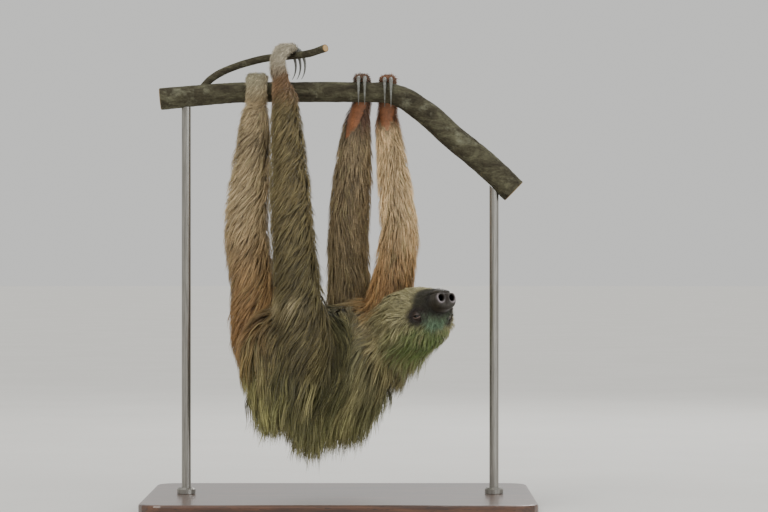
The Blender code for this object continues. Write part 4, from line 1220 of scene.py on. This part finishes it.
def add_coat(skin, material):
    for index, region in enumerate(REGIONS):
        coat = COATS["limb" if region in LIMBS else region]
        density = root_density(skin, region)
        guide_roots, guide_normals = skin.scatter(index, int(coat["guides"] * QUICK_SHARE), density)
        paths, facing = grow(skin, guide_roots, guide_normals, coat)
        roots, _ = skin.scatter(index, int(coat["tufts"] * QUICK_SHARE), density)
        lines, outs, mine = clumped(paths, facing, roots, coat)
        lengths = np.linalg.norm(lines[-1] - lines[0], axis=1)
        widths = coat["root_width"] * np.clip(lengths / coat["usual_length"], *WIDTH_LIMITS)
        widths = widths * RANDOM.uniform(*WIDTH_RANGE, len(roots)) / math.sqrt(QUICK_SHARE)
        clump = np.exp(RANDOM.normal(size=len(guide_roots)) * coat["tone_spread"])
        own = np.exp(RANDOM.normal(size=len(roots)) * OWN_TONE_SPREAD)
        colours = markings(roots, describe(roots)) * (clump[mine] * own)[:, None]
        blond = (RANDOM.random(len(guide_roots)) < coat["blond_share"])[mine] & (lengths > BLOND_LENGTH)
        colours = np.where(blond[:, None], colours * 0.6 + TRUNK_LIGHT * 0.45, colours)
        tips = colours * RANDOM.uniform(*TIP_RANGE, (len(roots), 1))
        if region == "head":
            streak = RANDOM.uniform(*BRISTLE_RANGE, len(guide_roots))[mine][:, None]
            tips = blend(tips, BRISTLE * streak, brow_share(in_head(roots)))
        uv = unwrap(roots, region)
        pieces = math.ceil(len(roots) / (PIECE_TRIANGLES // (coat["rings"] * 6 - 2)))
        for piece, chosen in enumerate(np.array_split(np.argsort(uv[:, 1], kind="stable"), pieces)):
            name = f"coat_{region}" + (f"_{piece + 1}" if pieces > 1 else "")
            data = tuft_mesh(name, lines[:, chosen], outs[:, chosen], widths[chosen], colours[chosen],
                             tips[chosen], uv[chosen])
            add_object(name, data, "coat", material)


def add_skin(material):
    data = skin_mesh()
    points = sculpt(read_points(data), read_points(data, "normal"))
    data.vertices.foreach_set("co", points.astype(np.float32).ravel())
    data.update()
    data.shade_smooth()
    skin = Skin(data)
    paint(data, skin_colours(skin))
    store(data, "bare", skin.bare)
    store(data, "pit", nostril_pits(skin.points))
    made = add_object("skin", data, "coat", material)
    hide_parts(*FLESH)
    return skin


# ---- eyes and claws ----
def add_eyes(material):
    for side, sign in (("left", 1), ("right", -1)):
        low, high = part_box(f"{side}_eye")
        gaze = -FORWARD * EYE_GAZE[0] + LEFT * EYE_GAZE[1] * sign + UP * EYE_GAZE[2]
        bm = bmesh.new()
        bmesh.ops.create_uvsphere(bm, u_segments=40, v_segments=28, radius=EYE_RADIUS)
        for vertex in bm.verts:
            if vertex.co.z > 0:
                vertex.co.z *= 1.0 + CORNEA_BULGE * (vertex.co.z / EYE_RADIUS) ** 3
        data = write_mesh(bm, bpy.data.meshes.new(f"{side}_eyeball"))
        data.shade_smooth()
        middle = Matrix.Translation((low + high) / 2 - gaze.normalized() * EYE_SINK)
        turn = gaze.to_track_quat("Z", "Y").to_matrix().to_4x4()
        made = add_object(f"{side}_eyeball", data, "eye", material, middle @ turn)
        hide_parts(f"{side}_eye")


def claw_points(limb, index):
    """Rings of oval section, with a keel on the outer side and a groove on the inner side."""
    aside = claw_offset(limb, index)
    tip_radius = CLAW_TIP_RADIUS * CLAW_POINT
    for ring in range(CLAW_RINGS):
        t = ring / (CLAW_RINGS - 1)
        angle = CLAW_START - CLAW_ROOT + (CLAW_END - CLAW_START + CLAW_ROOT) * t
        centre = hook_point(limb, angle, claw_distance(limb) + CLAW_SPREAD * t * t)
        outward = (centre - limb["hook"]).normalized()
        radius = tip_radius + (CLAW_BASE_RADIUS - tip_radius) * (1 - t**CLAW_TAPER)
        for side in range(CLAW_SIDES):
            turn = math.tau * side / CLAW_SIDES
            high = math.sin(turn) * (CLAW_OUTER if math.sin(turn) > 0 else CLAW_INNER)
            if side == CLAW_SIDES * 3 // 4:
                high *= CLAW_GROOVE
            wide = math.cos(turn) * CLAW_WIDTH
            yield centre + aside + limb["axis"] * wide * radius + outward * high * radius


def add_claws(material):
    faces = tube_faces(CLAW_RINGS, CLAW_SIDES)
    end = (CLAW_RINGS - 1) * CLAW_SIDES
    for side in range(1, CLAW_SIDES - 1):
        faces += [(0, side + 1, side), (end, end + side, end + side + 1)]
    for name, limb in LIMBS.items():
        for index in range(CLAWS[limb["kind"]]):
            points = np.array(list(claw_points(limb, index)))
            data = face_outward(array_mesh(f"{name}_claw_{index + 1}_horn", points, np.array(faces)))
            made = add_object(f"{name}_claw_{index + 1}_horn", data, "claw", material)
            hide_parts(f"{name}_claw_{index + 1}")


# ---- perch ----
def add_branch(name, node_name, path, radii, sides, per_span, rough, material):
    """A tube with lumpy bark, rounded saw-cut ends and year rings."""
    centres = np.array(smooth_curve([Vector(point) for point in path], per_span))
    sizes = np.array(smooth_curve(radii, per_span))
    tangents = unit(np.gradient(centres, axis=0))
    aside = unit(np.cross(tangents, (0.0, 1.0, 0.0)))
    ahead = np.cross(tangents, aside)
    turns = np.arange(sides) * math.tau / sides
    around = np.cos(turns)[None, :, None] * aside[:, None] + np.sin(turns)[None, :, None] * ahead[:, None]
    flat = (centres[:, None] + around * sizes[:, None, None]).reshape(-1, 3)
    lumps = sum(ripple(flat * np.array((stretch, 1, 1)), size, kind) * share
                for share, size, stretch, kind in BARK_LUMPS)
    drop = rough * (0.55 + 0.45 * np.clip(lumps, -1.2, 1.2)).reshape(len(centres), sides)
    surface = centres[:, None] + around * (sizes[:, None] - drop)[:, :, None]
    first_cut = [centres[0] + (surface[0] - centres[0]) * share for share in CUT_SHARES]
    last_cut = [centres[-1] + (surface[-1] - centres[-1]) * share for share in reversed(CUT_SHARES)]
    surface[0] += tangents[0] * sizes[0] * CUT_ROUNDING
    surface[-1] -= tangents[-1] * sizes[-1] * CUT_ROUNDING
    rows = np.array([*first_cut, *surface, *last_cut])
    cut = [1.0] * len(CUT_SHARES) + [0.0] * len(surface) + [1.0] * len(CUT_SHARES)
    year = np.array([*CUT_SHARES, *[1.0] * len(surface), *reversed(CUT_SHARES)])
    data = array_mesh(name, rows.reshape(-1, 3), np.array(tube_faces(len(rows), sides)))
    store(data, "cut", np.repeat(cut, sides))
    store(data, "rings", np.repeat(0.5 + 0.5 * np.sin(year * YEAR_TURNS), sides))
    made = add_object(name, face_outward(data, merge=True), "bark", material)
    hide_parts(node_name)


# ---- stand, floor, light and camera ----
FLOOR_RADIUS, LIT_MIDDLE = 30.0, (0.0, 0.0, 0.33)
SUN_WAY, SUN_POWER, SUN_ANGLE, SUN_COLOUR = (0.9, 1.35, -1.9), 1.5, math.radians(28), (1.0, 0.985, 0.95)
SKY_COLOUR, SKY_STRENGTH = (0.87, 0.87, 0.85, 1.0), 0.85
CAMERA_PLACE, SENSOR_WIDTH, LENS = (0.057, -4.0, 0.331), 36.0, 144.2


def finish_stand():
    wood, steel = varnish_material(), steel_material()
    for name, material in (("stand_base", wood), ("stand_rod_left", steel), ("stand_rod_right", steel)):
        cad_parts[name].data.materials[0] = material


def add_floor():
    bm = bmesh.new()
    bmesh.ops.create_circle(bm, cap_ends=True, radius=FLOOR_RADIUS, segments=96)
    floor = add_object("floor", write_mesh(bm, bpy.data.meshes.new("floor")), material=floor_material())


def area_light(name, place, size, power, colour=(1.0, 1.0, 1.0)):
    light = bpy.data.lights.new(name, "AREA")
    light.shape, light.size, light.energy, light.color = "DISK", size, power, colour
    made = add_object(name, light)
    made.location = place
    made.rotation_euler = (Vector(LIT_MIDDLE) - Vector(place)).to_track_quat("-Z", "Y").to_euler()


def add_lights():
    """A broad soft sun and two large lamps, under a pale even sky that the floor runs into."""
    sun = bpy.data.lights.new("sun", "SUN")
    sun.energy, sun.angle, sun.color = SUN_POWER, SUN_ANGLE, SUN_COLOUR
    add_object("sun", sun).rotation_euler = Vector(SUN_WAY).to_track_quat("-Z", "Y").to_euler()
    area_light("fill", (2.0, -2.4, 1.0), 2.2, 26, (0.95, 0.98, 1.0))
    area_light("rim", (0.8, 2.2, 1.9), 1.6, 26)
    world = bpy.data.worlds.new("studio")
    world.use_nodes = True
    background = world.node_tree.nodes["Background"]
    background.inputs["Color"].default_value = SKY_COLOUR
    background.inputs["Strength"].default_value = SKY_STRENGTH
    bpy.context.scene.world = world


def add_camera():
    data = bpy.data.cameras.new("camera")
    data.sensor_width, data.lens = SENSOR_WIDTH, LENS
    camera = add_object("camera", data)
    camera.location = CAMERA_PLACE
    camera.rotation_euler = (math.radians(90), 0.0, 0.0)
    bpy.context.scene.camera = camera


add_camera()
add_lights()
add_floor()
finish_stand()
skin = add_skin(skin_material())
add_coat(skin, coat_material())
add_eyes(eye_material())
add_claws(claw_material())
bark = bark_material()
add_branch("branch", "perch_branch", BRANCH_PATH, BRANCH_RADII, 72, 24, 0.0011, bark)
add_branch("twig", "perch_twig", TWIG_PATH, (TWIG_RADIUS,) * len(TWIG_PATH), 28, 16, 0.0005, bark)

bpy.context.view_layer.update()
